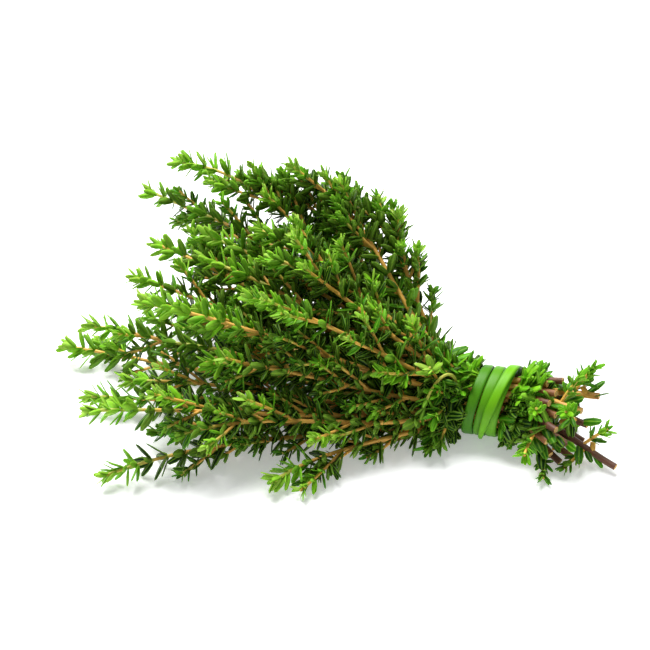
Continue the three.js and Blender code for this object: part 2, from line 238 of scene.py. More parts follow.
# Stubs of cut branches: the same values as for the side shoots
STUBS = (
    (9, -2, 5, 210, 70),
    (9, -16, 4.5, 160, 60),
    (9, -33, 4, 40, 60),
    (16, -9, 4.5, 130, 60),
    (16, -20, 4, 230, 60),
    (5, -15, 4.5, 190, 65),
    (28, -14, 4.5, 150, 65),
    (28, -26, 4, 60, 55),
    (22, -9, 4.5, 200, 65),
    (7, -13, 4.5, 150, 65),
    (3, -12, 4, 200, 65),
    (21, -7, 4, 150, 70),
)
STUB_RADII = (1.0, 1.1)

# Short leafy sprays that hang beside the tie, in the fan: the same values again
SPRAYS = (
    (13, 2, 12, 222, 62),
    (7, 3, 13, 205, 55),
    (1, 2, 12, 245, 50),
    (14, 3, 12, 178, 58),
    (21, 3, 11, 150, 55),
    (25, 9, 11, 118, 50),
    (0, 5, 12, 210, 48),
)
# Side shoots beyond those of the solids, as middle and spread: how far along the stem, length, angle off it in degrees
FILLERS = {"place": (0.48, 0.36), "length": (18, 6), "leaving": (33, 8)}
FILLER_TRIES = 10  # for such shoots on each stem
OUTER_TRIES = 16  # the same on the arched stems at the far side
OUTER_SPRIGS = range(27, 33)

# Ways to bend a leaf clear of its neighbours: turn in degrees, opening, size
BENDS = ((0, 1, 1), (18, 0.8, 1), (-18, 0.8, 1), (0, 0.6, 0.92), (34, 0.6, 0.85), (-34, 0.6, 0.85), (0, 0.38, 0.8))

BARK_AGE = {9: 1, 28: 0.78, 29: 1.15, 30: 1.15, 32: 1.2, 31: 1.1}  # how dark a stem's bark is at its cut end
INNER_SPRIGS = (4, 5, 6, 9, 10, 11, 12, 16, 17, 18, 19)  # deep in the bundle, where their bark is darkened as painted shade

FINE = 4  # the drawn stems have this many times the solids' steps
LEAF_CLEARANCE = 0.7
# Where a leaf is tested along its length, and how wide it is there, to the floor and beside the strip
SAMPLE_PLACES = (0.35, 0.6, 0.82, 1)
SAMPLE_WIDTHS = (1, 1, 0.8, 0.5)
SNUG_WIDTHS = (0.9, 0.9, 0.6, 0.1)
SNUG_GAP = 0.2
BLADE_DEPTH = 0.3
FLOOR_GAP = 0.05
LEAF_DROOP = 0.14  # how far a drawn blade's curled tip and rolled edges may hang below the rule's, of its length
AXIL_LEAVES = 4
AXIL_BARE = 48  # nearer to the tie than this the axils of a stem have few leaves
# Leaves beside the tie: how far under the strip the first grow, the dense zone and its gaps, the gap past it, then
# the last site on the cut end and the last in the fan
CUFF_LEAVES = {"under": 1.2, "dense": 6, "dense_gap": 1.4, "gap": 3.2, "past": 38, "before": 10}
CUFF_END = 60  # sites are looked for up to so far from the strip, but not on the last stretch of a cut end
CUFF_BARE = 2
# How many at each site, in the fan and on the cut end: in the dense zone, as far again, and past that
CUFF_COUNTS = {False: (6, 5, 2), True: (4, 1, 1)}
# How they lie: turn from outward in radians, in the dense zone and past it; degrees off the stem, more for each
# radian of turn; then, as middle and spread, size, twist in degrees, place along the stem and tone
CUFF_SIDEWAYS = (0.9, 1.3)
CUFF_LYING = {"least": 22, "growth": 24, "spread": 14}
CUFF_DRAWS = {"size": (0.92, 0.2), "twist": (0, 25), "place": (0, 0.5), "tone": (0.46, 0.14)}
CUFF_AWAY = 0.4  # share of those past the dense zone that look away from the tie
# Small leaves in the axils: turn from the pair's or from outward in radians, size and place, as middle and spread
AXIL_DRAWS = {"turn": (0.5, 0.5), "outward": (0, 1.2), "size": (0.88, 0.18), "place": (0.4, 1.2)}
AXIL_OPENINGS = {"tip": 28, "below": 48, "spread": 16}
# Tones: of the pairs and of the small leaves where they are old, and how much lighter they are at a tip
PAIR_TONE = 0.4
AXIL_TONE = 0.45
YOUTH_TONE = 0.4
YOUTH_STEP = 0.16  # how much older each pair of leaves is than the next
SHADE_REACH = 9  # a leaf is darker for each leaf over it, within this distance in plan and at least so far up
SHADE_OVER = 3
SHADE_COUNT = 27  # so many over a leaf give it the full shade
SHADE_DEPTH = {False: 0.72, True: 0.4}  # in the fan and on the cut end
TONE_LIFT = 0.04
CUT_END_TONE = 0.5  # the leaves on the cut end are no younger than this
STEM_CLEARANCE = 0.35
CUBE = 5.0  # side of the cubes of space that hold what a new leaf has to clear
CUBE_MARGIN = 1.7  # how far past its own points a leaf looks for its neighbours


class Draw:
    """Park and Miller's generator, which gives the same draws in any language."""

    def __init__(self, seed):
        self.state = seed % 2147483647
        for _ in range(3):
            self.next()

    def next(self):
        self.state = (self.state * 16807) % 2147483647
        return self.state / 2147483647

    def around(self, middle, spread):
        return middle + (2 * self.next() - 1) * spread


def vec(*values):
    return np.array(values, float)


def unit(v):
    return v / math.sqrt(v @ v)


def above(p, lowest):
    return vec(p[0], p[1], max(p[2], lowest))


def heading(spread, rise):
    a, e = math.radians(spread), math.radians(rise)
    return vec(-math.cos(e) * math.cos(a), math.cos(e) * math.sin(a), math.sin(e))


def turned(v, axis, angle):
    """v turned about a unit axis."""
    return v * math.cos(angle) + np.cross(axis, v) * math.sin(angle) + axis * (axis @ v) * (1 - math.cos(angle))


def pack_slots():
    """Where each stem passes the tie, pushed apart until all are SLOT_GAP clear."""
    slots = []
    for spread, rise, *_ in SPRIGS:
        slope = math.tan(math.radians(rise - SLOT_RISE_MIDDLE))
        slots.append(vec(SLOT_SPREAD * math.tan(math.radians(spread)), SLOT_RISE * slope))
    for _ in range(SLOT_ROUNDS):
        for i, a in enumerate(slots):
            for b in slots[:i]:
                between = a - b
                distance = math.hypot(*between)
                if distance < SLOT_GAP:
                    push = between * (0.5 * (SLOT_GAP - distance) / distance)
                    a += push
                    b -= push
        for slot in slots:
            distance = math.hypot(*slot)
            if distance > SLOT_RADIUS:
                slot *= SLOT_RADIUS / distance
    return slots


def bezier(corners, steps):
    t = np.linspace(0, 1, steps + 1)[:, None]
    if len(corners) == 3:
        a, b, c = corners
        return (1 - t) ** 2 * a + 2 * t * (1 - t) * b + t * t * c
    a, b, c, d = corners
    return (1 - t) ** 3 * a + 3 * t * (1 - t) ** 2 * b + 3 * t * t * (1 - t) * c + t**3 * d


def stem_corners(sprig, slot, draw):
    """The two curves of a stem's middle line: its cut end and its fan."""
    spread, rise, reach, bend, droop, cut_end = sprig
    left = vec(-NECK_HALF, slot[0], AXIS_HEIGHT + slot[1])
    right = vec(NECK_HALF, slot[0], AXIS_HEIGHT + slot[1])
    lean = unit(vec(-1, slot[0] * NECK_SPLAY, slot[1] * NECK_SPLAY))
    tip = vec(0, 0, AXIS_HEIGHT) + reach * heading(spread, rise)
    pull = FAN_PULL * math.dist(tip, left)
    fan = (
        left,
        above(left + pull * lean, LOWEST_STEM),
        above(tip - pull * heading(spread + bend, rise - droop), LOWEST_STEM),
        above(tip, LOWEST_STEM),
    )
    sideways = cut_end * (draw.around(CUT_DRIFT[0], CUT_SPREAD) + slot[0] * CUT_SPLAY)
    upwards = cut_end * (draw.around(CUT_DRIFT[1], CUT_SPREAD) + slot[1] * CUT_SPLAY)
    end = above(right + vec(cut_end, sideways, upwards), LOWEST_CUT)
    cut = (
        end,
        above(end - CUT_PULLS[0] * vec(cut_end, sideways, upwards), LOWEST_CUT),
        above(right + vec(CUT_PULLS[1] * cut_end, 0, 0), LOWEST_CUT),
        right,
    )
    return cut, fan


class Twig:
    """A stem or a side shoot: its path, and what grows on it."""

    def __init__(self, sprig, path, fine_path, radii, number):
        self.sprig, self.path, self.fine_path, self.radii, self.number = sprig, path, fine_path, radii, number
        steps = np.linalg.norm(path[1:] - path[:-1], axis=1)
        self.lengths = np.concatenate([[0], np.cumsum(steps)])
        self.length = self.lengths[-1]
        self.is_shoot = self.is_stub = False
        self.leafy = 0
        self.tint = 0  # how yellow-green its bark is
        self.cut_sites = []

    def frame_at(self, length):
        """The point at a running length, the direction there and two directions across it."""
        i = min(max(1, int(np.searchsorted(self.lengths, length))), len(self.path) - 1)
        share = (length - self.lengths[i - 1]) / (self.lengths[i] - self.lengths[i - 1])
        direction = unit(self.path[i] - self.path[i - 1])
        side = unit(np.cross(direction, vec(0, 0, 1)))
        point = self.path[i - 1] + share * (self.path[i] - self.path[i - 1])
        return point, direction, side, np.cross(side, direction)


def grow_twigs():
    """Every stem and side shoot of the solids, the stubs, and the small shoots that the solids leave out."""
    slots = pack_slots()
    twigs = []
    for i, sprig in enumerate(SPRIGS):
        cut, fan = stem_corners(sprig, slots[i], Draw(SEED + STEM_SEEDS * i))
        path = np.concatenate([bezier(cut, CUT_STEPS), bezier(fan, PATH_STEPS)])
        fine = np.concatenate([bezier(cut, CUT_STEPS * FINE), bezier(fan, PATH_STEPS * FINE)])
        stem = Twig(i, path, fine, (CUT_RADIUS, TIP_RADIUS), i)
        stem.leafy = stem.length - stem.lengths[CUT_STEPS + 1] - BARE_BASE
        stem.leaf_scale = 1
        stem.first_turn = STEM_TURNS[0] + STEM_TURNS[1] * i
        neck = stem.lengths[CUT_STEPS]
        stem.cut_sites = [neck - s for s in CUT_SITES if neck - s > BARE_BASE]
        twigs.append(stem)
    for i, (sprig, start, length, angle, leaving) in enumerate(SHOOTS):
        stem = twigs[sprig]
        at = stem.lengths[CUT_STEPS + 1] + start if start > 0 else stem.lengths[CUT_STEPS] + start
        bending = SHOOT_BENDING["fan" if start > 0 else "cut_end"]
        corners = shoot_corners(stem, at, length, angle, leaving, bending)
        twigs.append(side_shoot(sprig, corners, SHOOT_STEPS, len(twigs)))
    base = twigs[ARCH["sprig"]].path[CUT_STEPS + 1]
    arch = side_shoot(ARCH["sprig"], [base + vec(*p) for p in ARCH["points"]], ARCH["steps"], len(twigs))
    arch.leafy = ARCH["leafy"]
    arch.tint = 1
    twigs.append(arch)
    grow_stubs(twigs)
    grow_fillers(twigs)
    return twigs


def shoot_corners(stem, at, length, angle, leaving, bending):
    """Three corners of a shoot's curve: it leaves the stem at an angle and bends on along it."""
    point, direction, side, up = stem.frame_at(at)
    angle, leaving = math.radians(angle), math.radians(leaving)
    outward = side * math.cos(angle) + up * math.sin(angle)
    leave = outward * math.sin(leaving) + direction * math.cos(leaving)
    middle = above(point + 0.5 * length * leave, LOWEST_CUT)
    return point, middle, above(middle + 0.5 * length * unit(leave + bending * direction), LOWEST_CUT)


def grow_stubs(twigs):
    """Stubs of cut side branches on the woody ends, each from its cut face into the stem."""
    for sprig, start, length, angle, leaving in STUBS:
        stem = twigs[sprig]
        at = stem.lengths[CUT_STEPS] + start
        corners = shoot_corners(stem, at, length, angle, leaving, SHOOT_BENDING["stub"])[::-1]
        stub = Twig(sprig, bezier(corners, 2), bezier(corners, 6), STUB_RADII, len(twigs))
        stub.is_stub = True
        twigs.append(stub)


def grow_fillers(twigs):
    """The sprays beside the tie, then more side shoots out in the fan, wherever they run clear of every other stem."""
    crowd = Crowd(twigs)
    for sprig, start, length, angle, leaving in SPRAYS:
        stem = twigs[sprig]
        at = stem.lengths[CUT_STEPS + 1] + start
        corners = shoot_corners(stem, at, length, angle, leaving, SHOOT_BENDING["spray"])
        spray = side_shoot(sprig, corners, SHOOT_STEPS, len(twigs))
        spray.leaf_scale = SPRAY_LEAF
        crowd.add(spray.fine_path, SHOOT_RADIUS + STEM_CLEARANCE, -1 - spray.number)
        twigs.append(spray)
    for stem in twigs[: len(SPRIGS)]:
        draw = Draw(SEED + FILLER_SEEDS * (stem.number + 1))
        neck = stem.lengths[CUT_STEPS + 1]
        for _ in range(OUTER_TRIES if stem.sprig in OUTER_SPRIGS else FILLER_TRIES):
            at = neck + (stem.length - neck) * draw.around(*FILLERS["place"])
            length = draw.around(*FILLERS["length"])
            angle, leaving = 360 * draw.next(), draw.around(*FILLERS["leaving"])
            corners = shoot_corners(stem, at, length, angle, leaving, SHOOT_BENDING["fan"])
            shoot = side_shoot(stem.sprig, corners, SHOOT_STEPS, len(twigs))
            if crowd.is_clear(shoot.fine_path[3:], stem, -1 - stem.number):
                crowd.add(shoot.fine_path, SHOOT_RADIUS + STEM_CLEARANCE, -1 - shoot.number)
                twigs.append(shoot)


def side_shoot(sprig, corners, steps, number):
    radii = (SHOOT_RADIUS, SHOOT_RADIUS * SHOOT_TAPER)
    shoot = Twig(sprig, bezier(corners, steps), bezier(corners, steps * FINE), radii, number)
    shoot.leafy = max(0, shoot.length - BARE_BASE)
    shoot.leaf_scale = SHOOT_LEAF
    shoot.first_turn = SHOOT_TURNS[0] + SHOOT_TURNS[1] * (number - len(SPRIGS))
    shoot.is_shoot = True
    return shoot


def leaf_sites(leafy):
    """Distances from a twig's tip at which a pair of leaves grows."""
    sites, at = [], FIRST_SITE
    while at < leafy:
        sites.append(at)
        at += min(SITE_GAPS["most"], SITE_GAPS["first"] + SITE_GAPS["growth"] * (len(sites) - 1))
    return sites


class Crowd:
    """What a new leaf has to keep clear of: points on the leaves and stems that are there, kept in cubes of space."""

    def __init__(self, twigs):
        self.cubes = {}
        for twig in twigs:
            reach = np.linspace(0, twig.length, max(3, int(twig.length / 1.5)))
            line = np.stack([np.interp(reach, twig.lengths, twig.path[:, k]) for k in range(3)], 1)
            radius = twig.radii[0] + (twig.radii[1] - twig.radii[0]) * reach / twig.length
            self.add(line, radius + STEM_CLEARANCE, -1 - twig.number)

    def add(self, points, reach, owner):
        rows = np.column_stack([points, np.broadcast_to(reach, len(points)) ** 2, np.full(len(points), owner)])
        for row, key in zip(rows, map(tuple, np.floor(points / CUBE).astype(int))):
            self.cubes.setdefault(key, []).append(row)

    def is_clear(self, samples, twig, site):
        low = np.floor((samples.min(0) - CUBE_MARGIN) / CUBE).astype(int)
        high = np.floor((samples.max(0) + CUBE_MARGIN) / CUBE).astype(int)
        spans = [range(a, b + 1) for a, b in zip(low, high)]
        near = [row for x in spans[0] for y in spans[1] for z in spans[2] for row in self.cubes.get((x, y, z), ())]
        if not near:
            return True
        near = np.array(near)
        others = near[(near[:, 4] != site) & (near[:, 4] != -1 - twig.number)]
        apart = ((others[None, :, :3] - samples[:, None]) ** 2).sum(2)
        return not (apart < others[None, :, 3]).any()


def slant_at(angle):
    """How far the winding leans at an angle round the neck."""
    return TIE_SLANT * np.cos(angle - math.radians(TIE_LEAN_ANGLE))


def leaf_at(twig, length, angle, opening, size, twist):
    """A leaf's base, its direction, the side that its face looks to, and its length."""
    point, direction, side, up = twig.frame_at(length)
    outward = side * math.cos(angle) + up * math.sin(angle)
    out = direction * math.cos(opening) + outward * math.sin(opening)
    face = turned(direction * math.sin(opening) - outward * math.cos(opening), out, twist)
    return point - LEAF_ROOT * out, out, face, size


def twist_towards(twig, length, angle, opening, wanted):
    """The twist that turns a leaf's face most nearly to a wanted direction."""
    _, out, face, _ = leaf_at(twig, length, angle, opening, 1, 0)
    return math.atan2(np.cross(face, wanted) @ out, face @ wanted)


def leaf_samples(leaf):
    """Points along a leaf's midrib."""
    base, out, face, size = leaf
    t = vec(*SAMPLE_PLACES)[:, None] * size
    return base + out * t - face * (LEAF_CURL * t * t / size)


def leaf_fits(leaf, crowd, twig, site, snug):
    """Whether a leaf is clear of the floor, the tie and what is there; a snug one may touch the strip's edges."""
    samples = leaf_samples(leaf)
    half = 0.5 * LEAF_WIDTH * leaf[3] * np.abs(np.cross(leaf[1], leaf[2]))
    droop = LEAF_DROOP * leaf[3] * max(0, leaf[2][2])
    if (samples[:, 2] - droop - half[2] * vec(*SAMPLE_WIDTHS) - BLADE_DEPTH < FLOOR_GAP).any():
        return False
    angles = np.arctan2(samples[:, 2] - AXIS_HEIGHT, samples[:, 1])
    if snug:
        edges = strip_edges(angles)
        reach = half[0] * vec(*SNUG_WIDTHS) + SNUG_GAP
        beside = (samples[:, 0] + reach < edges[:, 0]) | (samples[:, 0] - reach > edges[:, 1])
    else:
        beside = np.abs(samples[:, 0] - slant_at(angles)) - half[0] > TIE_CLEAR
    outermost = TIE_INNER_RADIUS + 2 * TIE_THICKNESS + LEAF_CLEARANCE
    over = np.hypot(samples[:, 1], samples[:, 2] - AXIS_HEIGHT) > outermost
    if not (beside | over).all():
        return False
    return crowd.is_clear(samples, twig, site)


def place_leaf(twig, length, wish, crowd, site, leaves, tone, snug=False):
    """Adds a leaf in the first of the bends that is clear; a wish is its turn, opening, size and twist."""
    angle, opening, size, twist = wish
    for turn, closing, shrink in BENDS:
        leaf = leaf_at(twig, length, angle + math.radians(turn), opening * closing, size * shrink, twist)
        if leaf_fits(leaf, crowd, twig, site, snug):
            crowd.add(leaf_samples(leaf), LEAF_CLEARANCE, site)
            leaves.append((twig.sprig, leaf, tone))
            return


def outward_turn(twig, length):
    """The way round the stem that looks away from the bundle's middle."""
    point, _, side, up = twig.frame_at(length)
    away = point - vec(point[0], 0, AXIS_HEIGHT)
    return math.atan2(away @ up, away @ side)


def cuff_sites(twig, neck):
    """Running lengths beside the tie, each with its distance from the strip's edge and whether it is on the cut end."""
    point = twig.frame_at(neck)[0]
    low, high = strip_edges(np.arctan2(point[2] - AXIS_HEIGHT, point[1]))
    dense = np.arange(0, CUFF_LEAVES["dense"], CUFF_LEAVES["dense_gap"])
    sparse = np.arange(CUFF_LEAVES["dense"], CUFF_END, CUFF_LEAVES["gap"])
    sites = []
    cut_end = (neck, -1, high, min(neck - CUFF_BARE, CUFF_LEAVES["past"]))
    fan = (twig.lengths[CUT_STEPS + 1], 1, -low, CUFF_LEAVES["before"])
    for bend, side, edge, last in (cut_end, fan):
        edge -= NECK_HALF + CUFF_LEAVES["under"]
        sites += [(bend + side * (edge + s), s, side < 0) for s in (*dense, *sparse) if edge + s < last]
    return sites


def leaf_draw(twig, rank=0, kind=0):
    """The draws for one site of a twig, for its pair or for another kind of leaf there."""
    return Draw(SEED + kind + TWIG_SEEDS * (twig.number + 1) + PAIR_SEEDS * rank)


def plan_sites(twigs):
    """Each site of a pair, the solids' own first: its rank from the tip, twig, running length, size and opening."""
    plans = []
    for twig in twigs:
        for rank, at in enumerate(leaf_sites(twig.leafy)):
            size = min(1, TIP_LEAF + LEAF_GROWTH * rank)
            opening = TIP_OPENING + OPENING_STEP * min(rank, OPENING_STEPS)
            plans.append((rank not in SOLID_RANKS, rank, twig, twig.length - at, size, opening))
        for i, at in enumerate(twig.cut_sites):
            plans.append((False, CUT_RANK + i, twig, at, CUT_LEAF, CUT_OPENING))
    plans.sort(key=lambda plan: plan[:2])
    return [plan[1:] for plan in plans]


def grow_pairs(plans, crowd, leaves):
    """The pairs of opposite leaves."""
    for rank, twig, length, size, opening in plans:
        draw = leaf_draw(twig, rank)
        turn = math.radians(twig.first_turn + 90 * rank) + draw.around(0, PAIR_SPREADS["turn"])
        youth = max(0, 1 - YOUTH_STEP * rank)
        for half in (0, 1):
            wish = [turn + half * math.pi, math.radians(draw.around(opening, PAIR_SPREADS["opening"]))]
            wish.append(LEAF_LENGTH * twig.leaf_scale * size * draw.around(1, PAIR_SPREADS["size"]))
            wish.append(math.radians(draw.around(0, TWIST)))
            site, tone = RANKS_EACH * twig.number + rank, PAIR_TONE + YOUTH_TONE * youth
            place_leaf(twig, length, wish, crowd, site, leaves, tone)


def grow_axil_leaves(plans, crowd, leaves):
    """The smaller leaves in the axils of the pairs and at the tips."""
    for rank, twig, length, size, _ in plans:
        draw = leaf_draw(twig, rank, AXIL_SEED)
        youth = max(0, 1 - YOUTH_STEP * rank)
        outward = outward_turn(twig, length)
        point = twig.frame_at(length)[0]
        few = math.hypot(point[0], point[1]) < AXIL_BARE and not twig.is_shoot
        most = 3 if few else AXIL_LEAVES + 2 * (twig.sprig in OUTER_SPRIGS)
        for k in range(most):
            turn = math.radians(twig.first_turn + 90 * rank + 360 * k / most) + draw.around(*AXIL_DRAWS["turn"])
            if k % 2 and rank > 3:
                turn = outward + draw.around(*AXIL_DRAWS["outward"])
            opening = AXIL_OPENINGS["below" if rank > 1 else "tip"]
            wish = [turn, math.radians(draw.around(opening, AXIL_OPENINGS["spread"]))]
            wish.append(LEAF_LENGTH * twig.leaf_scale * min(1, size + 0.1) * draw.around(*AXIL_DRAWS["size"]))
            wish.append(math.radians(draw.around(0, TWIST)))
            at = min(length + draw.around(*AXIL_DRAWS["place"]), twig.length - 0.2)
            site, tone = RANKS_EACH * twig.number + rank, AXIL_TONE + YOUTH_TONE * youth
            place_leaf(twig, at, wish, crowd, site, leaves, tone)


def grow_cuff_leaves(twigs, crowd, leaves):
    """The leaves beside the tie, which lie along the stems, most of them away from it."""
    for twig in twigs[: len(SPRIGS)]:
        draw = leaf_draw(twig, kind=CUFF_SEED)
        neck = twig.lengths[CUT_STEPS]
        for i, (length, from_edge, cut_end) in enumerate(cuff_sites(twig, neck)):
            outward = outward_turn(twig, length)
            point = twig.frame_at(length)[0]
            away_from_middle = unit(vec(0, point[1], point[2] - AXIS_HEIGHT))
            dense = from_edge < CUFF_LEAVES["dense"]
            for _ in range(CUFF_COUNTS[cut_end][min(2, int(from_edge / CUFF_LEAVES["dense"]))]):
                away = dense or draw.next() < CUFF_AWAY
                sideways = draw.around(0, CUFF_SIDEWAYS[0 if dense else 1])
                lying = CUFF_LYING["least"] + CUFF_LYING["growth"] * abs(sideways)
                lying = draw.around(lying, CUFF_LYING["spread"])
                opening = 180 - lying if away == cut_end else lying
                wish = [outward + sideways, math.radians(opening)]
                twist = twist_towards(twig, length, *wish, away_from_middle + vec(0, 0, 1))
                wish.append(LEAF_LENGTH * draw.around(*CUFF_DRAWS["size"]))
                wish.append(twist + math.radians(draw.around(*CUFF_DRAWS["twist"])))
                at, site = length + draw.around(*CUFF_DRAWS["place"]), RANKS_EACH * twig.number + CUFF_RANK + i
                place_leaf(twig, at, wish, crowd, site, leaves, draw.around(*CUFF_DRAWS["tone"]), snug=True)


def grow_leaves(twigs):
    """Every leaf: its sprig, its place and its tone from 0, old, to 1, new."""
    crowd, leaves, plans = Crowd(twigs), [], plan_sites(twigs)
    grow_pairs(plans, crowd, leaves)
    grow_axil_leaves(plans, crowd, leaves)
    grow_cuff_leaves(twigs, crowd, leaves)
    return leaves


def shaded(leaves):
    """Each leaf's tone, lowered by how many leaves lie over it."""
    bases = np.array([leaf[0] for _, leaf, _ in leaves])
    tones = []
    for _, leaf, tone in leaves:
        on_cut_end = bool(leaf[0][0] > 0)
        if on_cut_end:
            tone = min(tone, CUT_END_TONE)
        beside = bases - leaf[0]
        over = (beside[:, 2] > SHADE_OVER) & ((beside[:, :2] ** 2).sum(1) < SHADE_REACH**2)
        tones.append(tone + TONE_LIFT - SHADE_DEPTH[on_cut_end] * min(1, over.sum() / SHADE_COUNT))
    return tones


def tie_layout(steps_each):
    """The strip's path round the neck: angle from +Y over the top, place along X and radius of its inner face."""
    stations = []
    wound = TIE_TURNS * TIE_STEPS
    for k in range((wound + TIE_OVER_STEPS) * steps_each + 1):
        step = k / steps_each
        over = max(0, step - wound)
        angle = 2 * math.pi * (step + TIE_FIRST_STEP) / TIE_STEPS
        x = TIE_PITCH * (min(step, wound) / TIE_STEPS - TIE_TURNS / 2) + TIE_OVER_SHIFT * over / TIE_OVER_STEPS
        radius = TIE_INNER_RADIUS + 0.9 * TIE_THICKNESS * min(1, over)
        stations.append((angle, x + slant_at(angle), radius))
    return stations


def edge_table():
    """The wound strip's least and greatest place along X between each two steps round the neck."""
    places = [[] for _ in range(TIE_STEPS)]
    for k, (_, x, _) in enumerate(tie_layout(1)):
        places[k % TIE_STEPS].append(x)
    either = [places[step] + places[(step + 1) % TIE_STEPS] for step in range(TIE_STEPS)]
    return np.array([(min(xs) - 0.5 * TIE_WIDTH, max(xs) + 0.5 * TIE_WIDTH) for xs in either])


def strip_edges(angles):
    """The rows of the table for angles round the neck."""
    steps = np.floor(angles / (2 * math.pi) * TIE_STEPS - TIE_FIRST_STEP).astype(int)
    return EDGES[steps % TIE_STEPS]


def layout_shift():
    """From the layout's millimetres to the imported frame, by the tie's box."""
    lowest = min(x for _, x, _ in tie_layout(1)) - 0.5 * TIE_WIDTH
    outer = [(r + TIE_THICKNESS, a, x) for a, x, r in tie_layout(1)]
    nearest = min(r * math.cos(a) for r, a, _ in outer)
    low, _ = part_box("tie")
    return vec(low.x / MM - lowest, low.y / MM - nearest, 0)


SHIFT = layout_shift()
EDGES = edge_table()
TWIGS = grow_twigs()


def colour_property(name, description, default):
    return bpy.props.FloatVectorProperty(
        name=name, description=description, default=default, size=3, subtype="COLOR"
    )


class LeafSettings(bpy.types.PropertyGroup):
    """Shape and colours of the leaves."""

    fullness: bpy.props.FloatProperty(
        name="Fullness", description="Width of a blade against the solids'", default=1.0, min=0.5, max=1.5
    )
    thickness: bpy.props.FloatProperty(
        name="Thickness", description="Thickness at the midrib", default=0.0005, min=0.0002, max=0.001, unit="LENGTH"
    )
    # the darkest leaf colour: of the oldest leaves, and of the painted shade under other leaves
    shade: colour_property("Old", "Colour of the oldest leaves", (0.002, 0.028, 0.001))
    mature: colour_property("Mature", "Colour of full-grown leaves", (0.06, 0.3, 0.003))
    fresh: colour_property("Fresh", "Colour of the young leaves", (0.235, 0.59, 0.016))
    bud: colour_property("Bud", "Colour of the newest leaves at the tips", (0.4, 0.6, 0.09))
    under: colour_property("Underside", "Colour of the undersides", (0.3, 0.56, 0.05))


class StemSettings(bpy.types.PropertyGroup):
    """Shape and colours of the stems."""

    sides: bpy.props.IntProperty(name="Sides", description="Corners round a stem", default=8, min=5, max=16)
    bark_depth: bpy.props.FloatProperty(
        name="Bark depth", description="Depth of the bark's ridges", default=0.00022, min=0, max=0.001, unit="LENGTH"
    )
    green: colour_property("Green wood", "Colour of the newest wood", (0.5, 0.55, 0.07))
    tan: colour_property("Young wood", "Colour of one season's wood", (0.92, 0.5, 0.085))
    brown: colour_property("Brown wood", "Colour of the lower stems", (0.34, 0.13, 0.03))
    dark: colour_property("Old wood", "Colour of the woody cut ends", (0.13, 0.046, 0.02))
    cut: colour_property("Cut face", "Colour of the cut faces", (0.62, 0.4, 0.14))


class TieSettings(bpy.types.PropertyGroup):
    """Colours of the tie."""

    # deep: the strip's darker green on its first turns, and painted shade along its edges where it folds
    deep: colour_property("Deep green", "Colour in the strip's folds and older turns", (0.018, 0.13, 0.003))
    bright: colour_property("Bright green", "Colour of the strip", (0.16, 0.47, 0.006))


class StageSettings(bpy.types.PropertyGroup):
    """The floor and the light."""

    floor: colour_property("Floor", "Colour of the surface", (0.93, 0.935, 0.94))
    glow: bpy.props.FloatProperty(
        name="Glow", description="Light of the surface itself, which keeps shadows faint", default=0.34, min=0, max=1
    )
    sun: bpy.props.FloatProperty(
        name="Key light", description="Strength of the soft key light", default=5.6, min=0, max=10
    )
    sky: bpy.props.FloatProperty(
        name="Sky", description="Strength of the light from all round", default=0.32, min=0, max=3
    )


def add_node(tree, kind, inputs=None, **settings):
    """A node with its settings; inputs maps a socket's name or number to a value or to another node's socket."""
    made = tree.nodes.new(kind)
    for name, value in settings.items():
        setattr(made, name, value)
    for socket, value in (inputs or {}).items():
        if isinstance(value, bpy.types.NodeSocket):
            tree.links.new(value, made.inputs[socket])
        else:
            made.inputs[socket].default_value = value
    return made


def math_node(tree, operation, *values):
    return add_node(tree, "ShaderNodeMath", dict(enumerate(values)), operation=operation).outputs[0]


def noise(tree, place, scale, detail):
    return add_node(tree, "ShaderNodeTexNoise", {"Vector": place, "Scale": scale, "Detail": detail}).outputs[0]


def rescaled(tree, value, start, end, low, high, **settings):
    """A value that runs from start to end, brought to run from low to high."""
    inputs = {0: value, 1: start, 2: end, 3: low, 4: high}
    return add_node(tree, "ShaderNodeMapRange", inputs, **settings).outputs[0]


def stored(tree, name, output="Fac"):
    """What the mesh keeps at each corner under this name."""
    return add_node(tree, "ShaderNodeAttribute", attribute_name=name).outputs[output]


def mixed(tree, factor, first, second):
    """A colour between two others."""
    made = tree.nodes.new("ShaderNodeMix")
    made.data_type = "RGBA"
    for socket, value in ((0, factor), (6, first), (7, second)):
        if isinstance(value, bpy.types.NodeSocket):
            tree.links.new(value, made.inputs[socket])
        elif socket:
            made.inputs[socket].default_value = (*value, 1)
        else:
            made.inputs[socket].default_value = value
    return made.outputs[2]


def ramp(tree, factor, stops):
    """A colour ramp over (position, colour) stops."""
    made = tree.nodes.new("ShaderNodeValToRGB")
    tree.links.new(factor, made.inputs[0])
    elements = made.color_ramp.elements
    while len(elements) < len(stops):
        elements.new(0.5)
    for element, (position, colour) in zip(elements, stops):
        element.position = position
        element.color = (*colour, 1)
    return made.outputs[0]


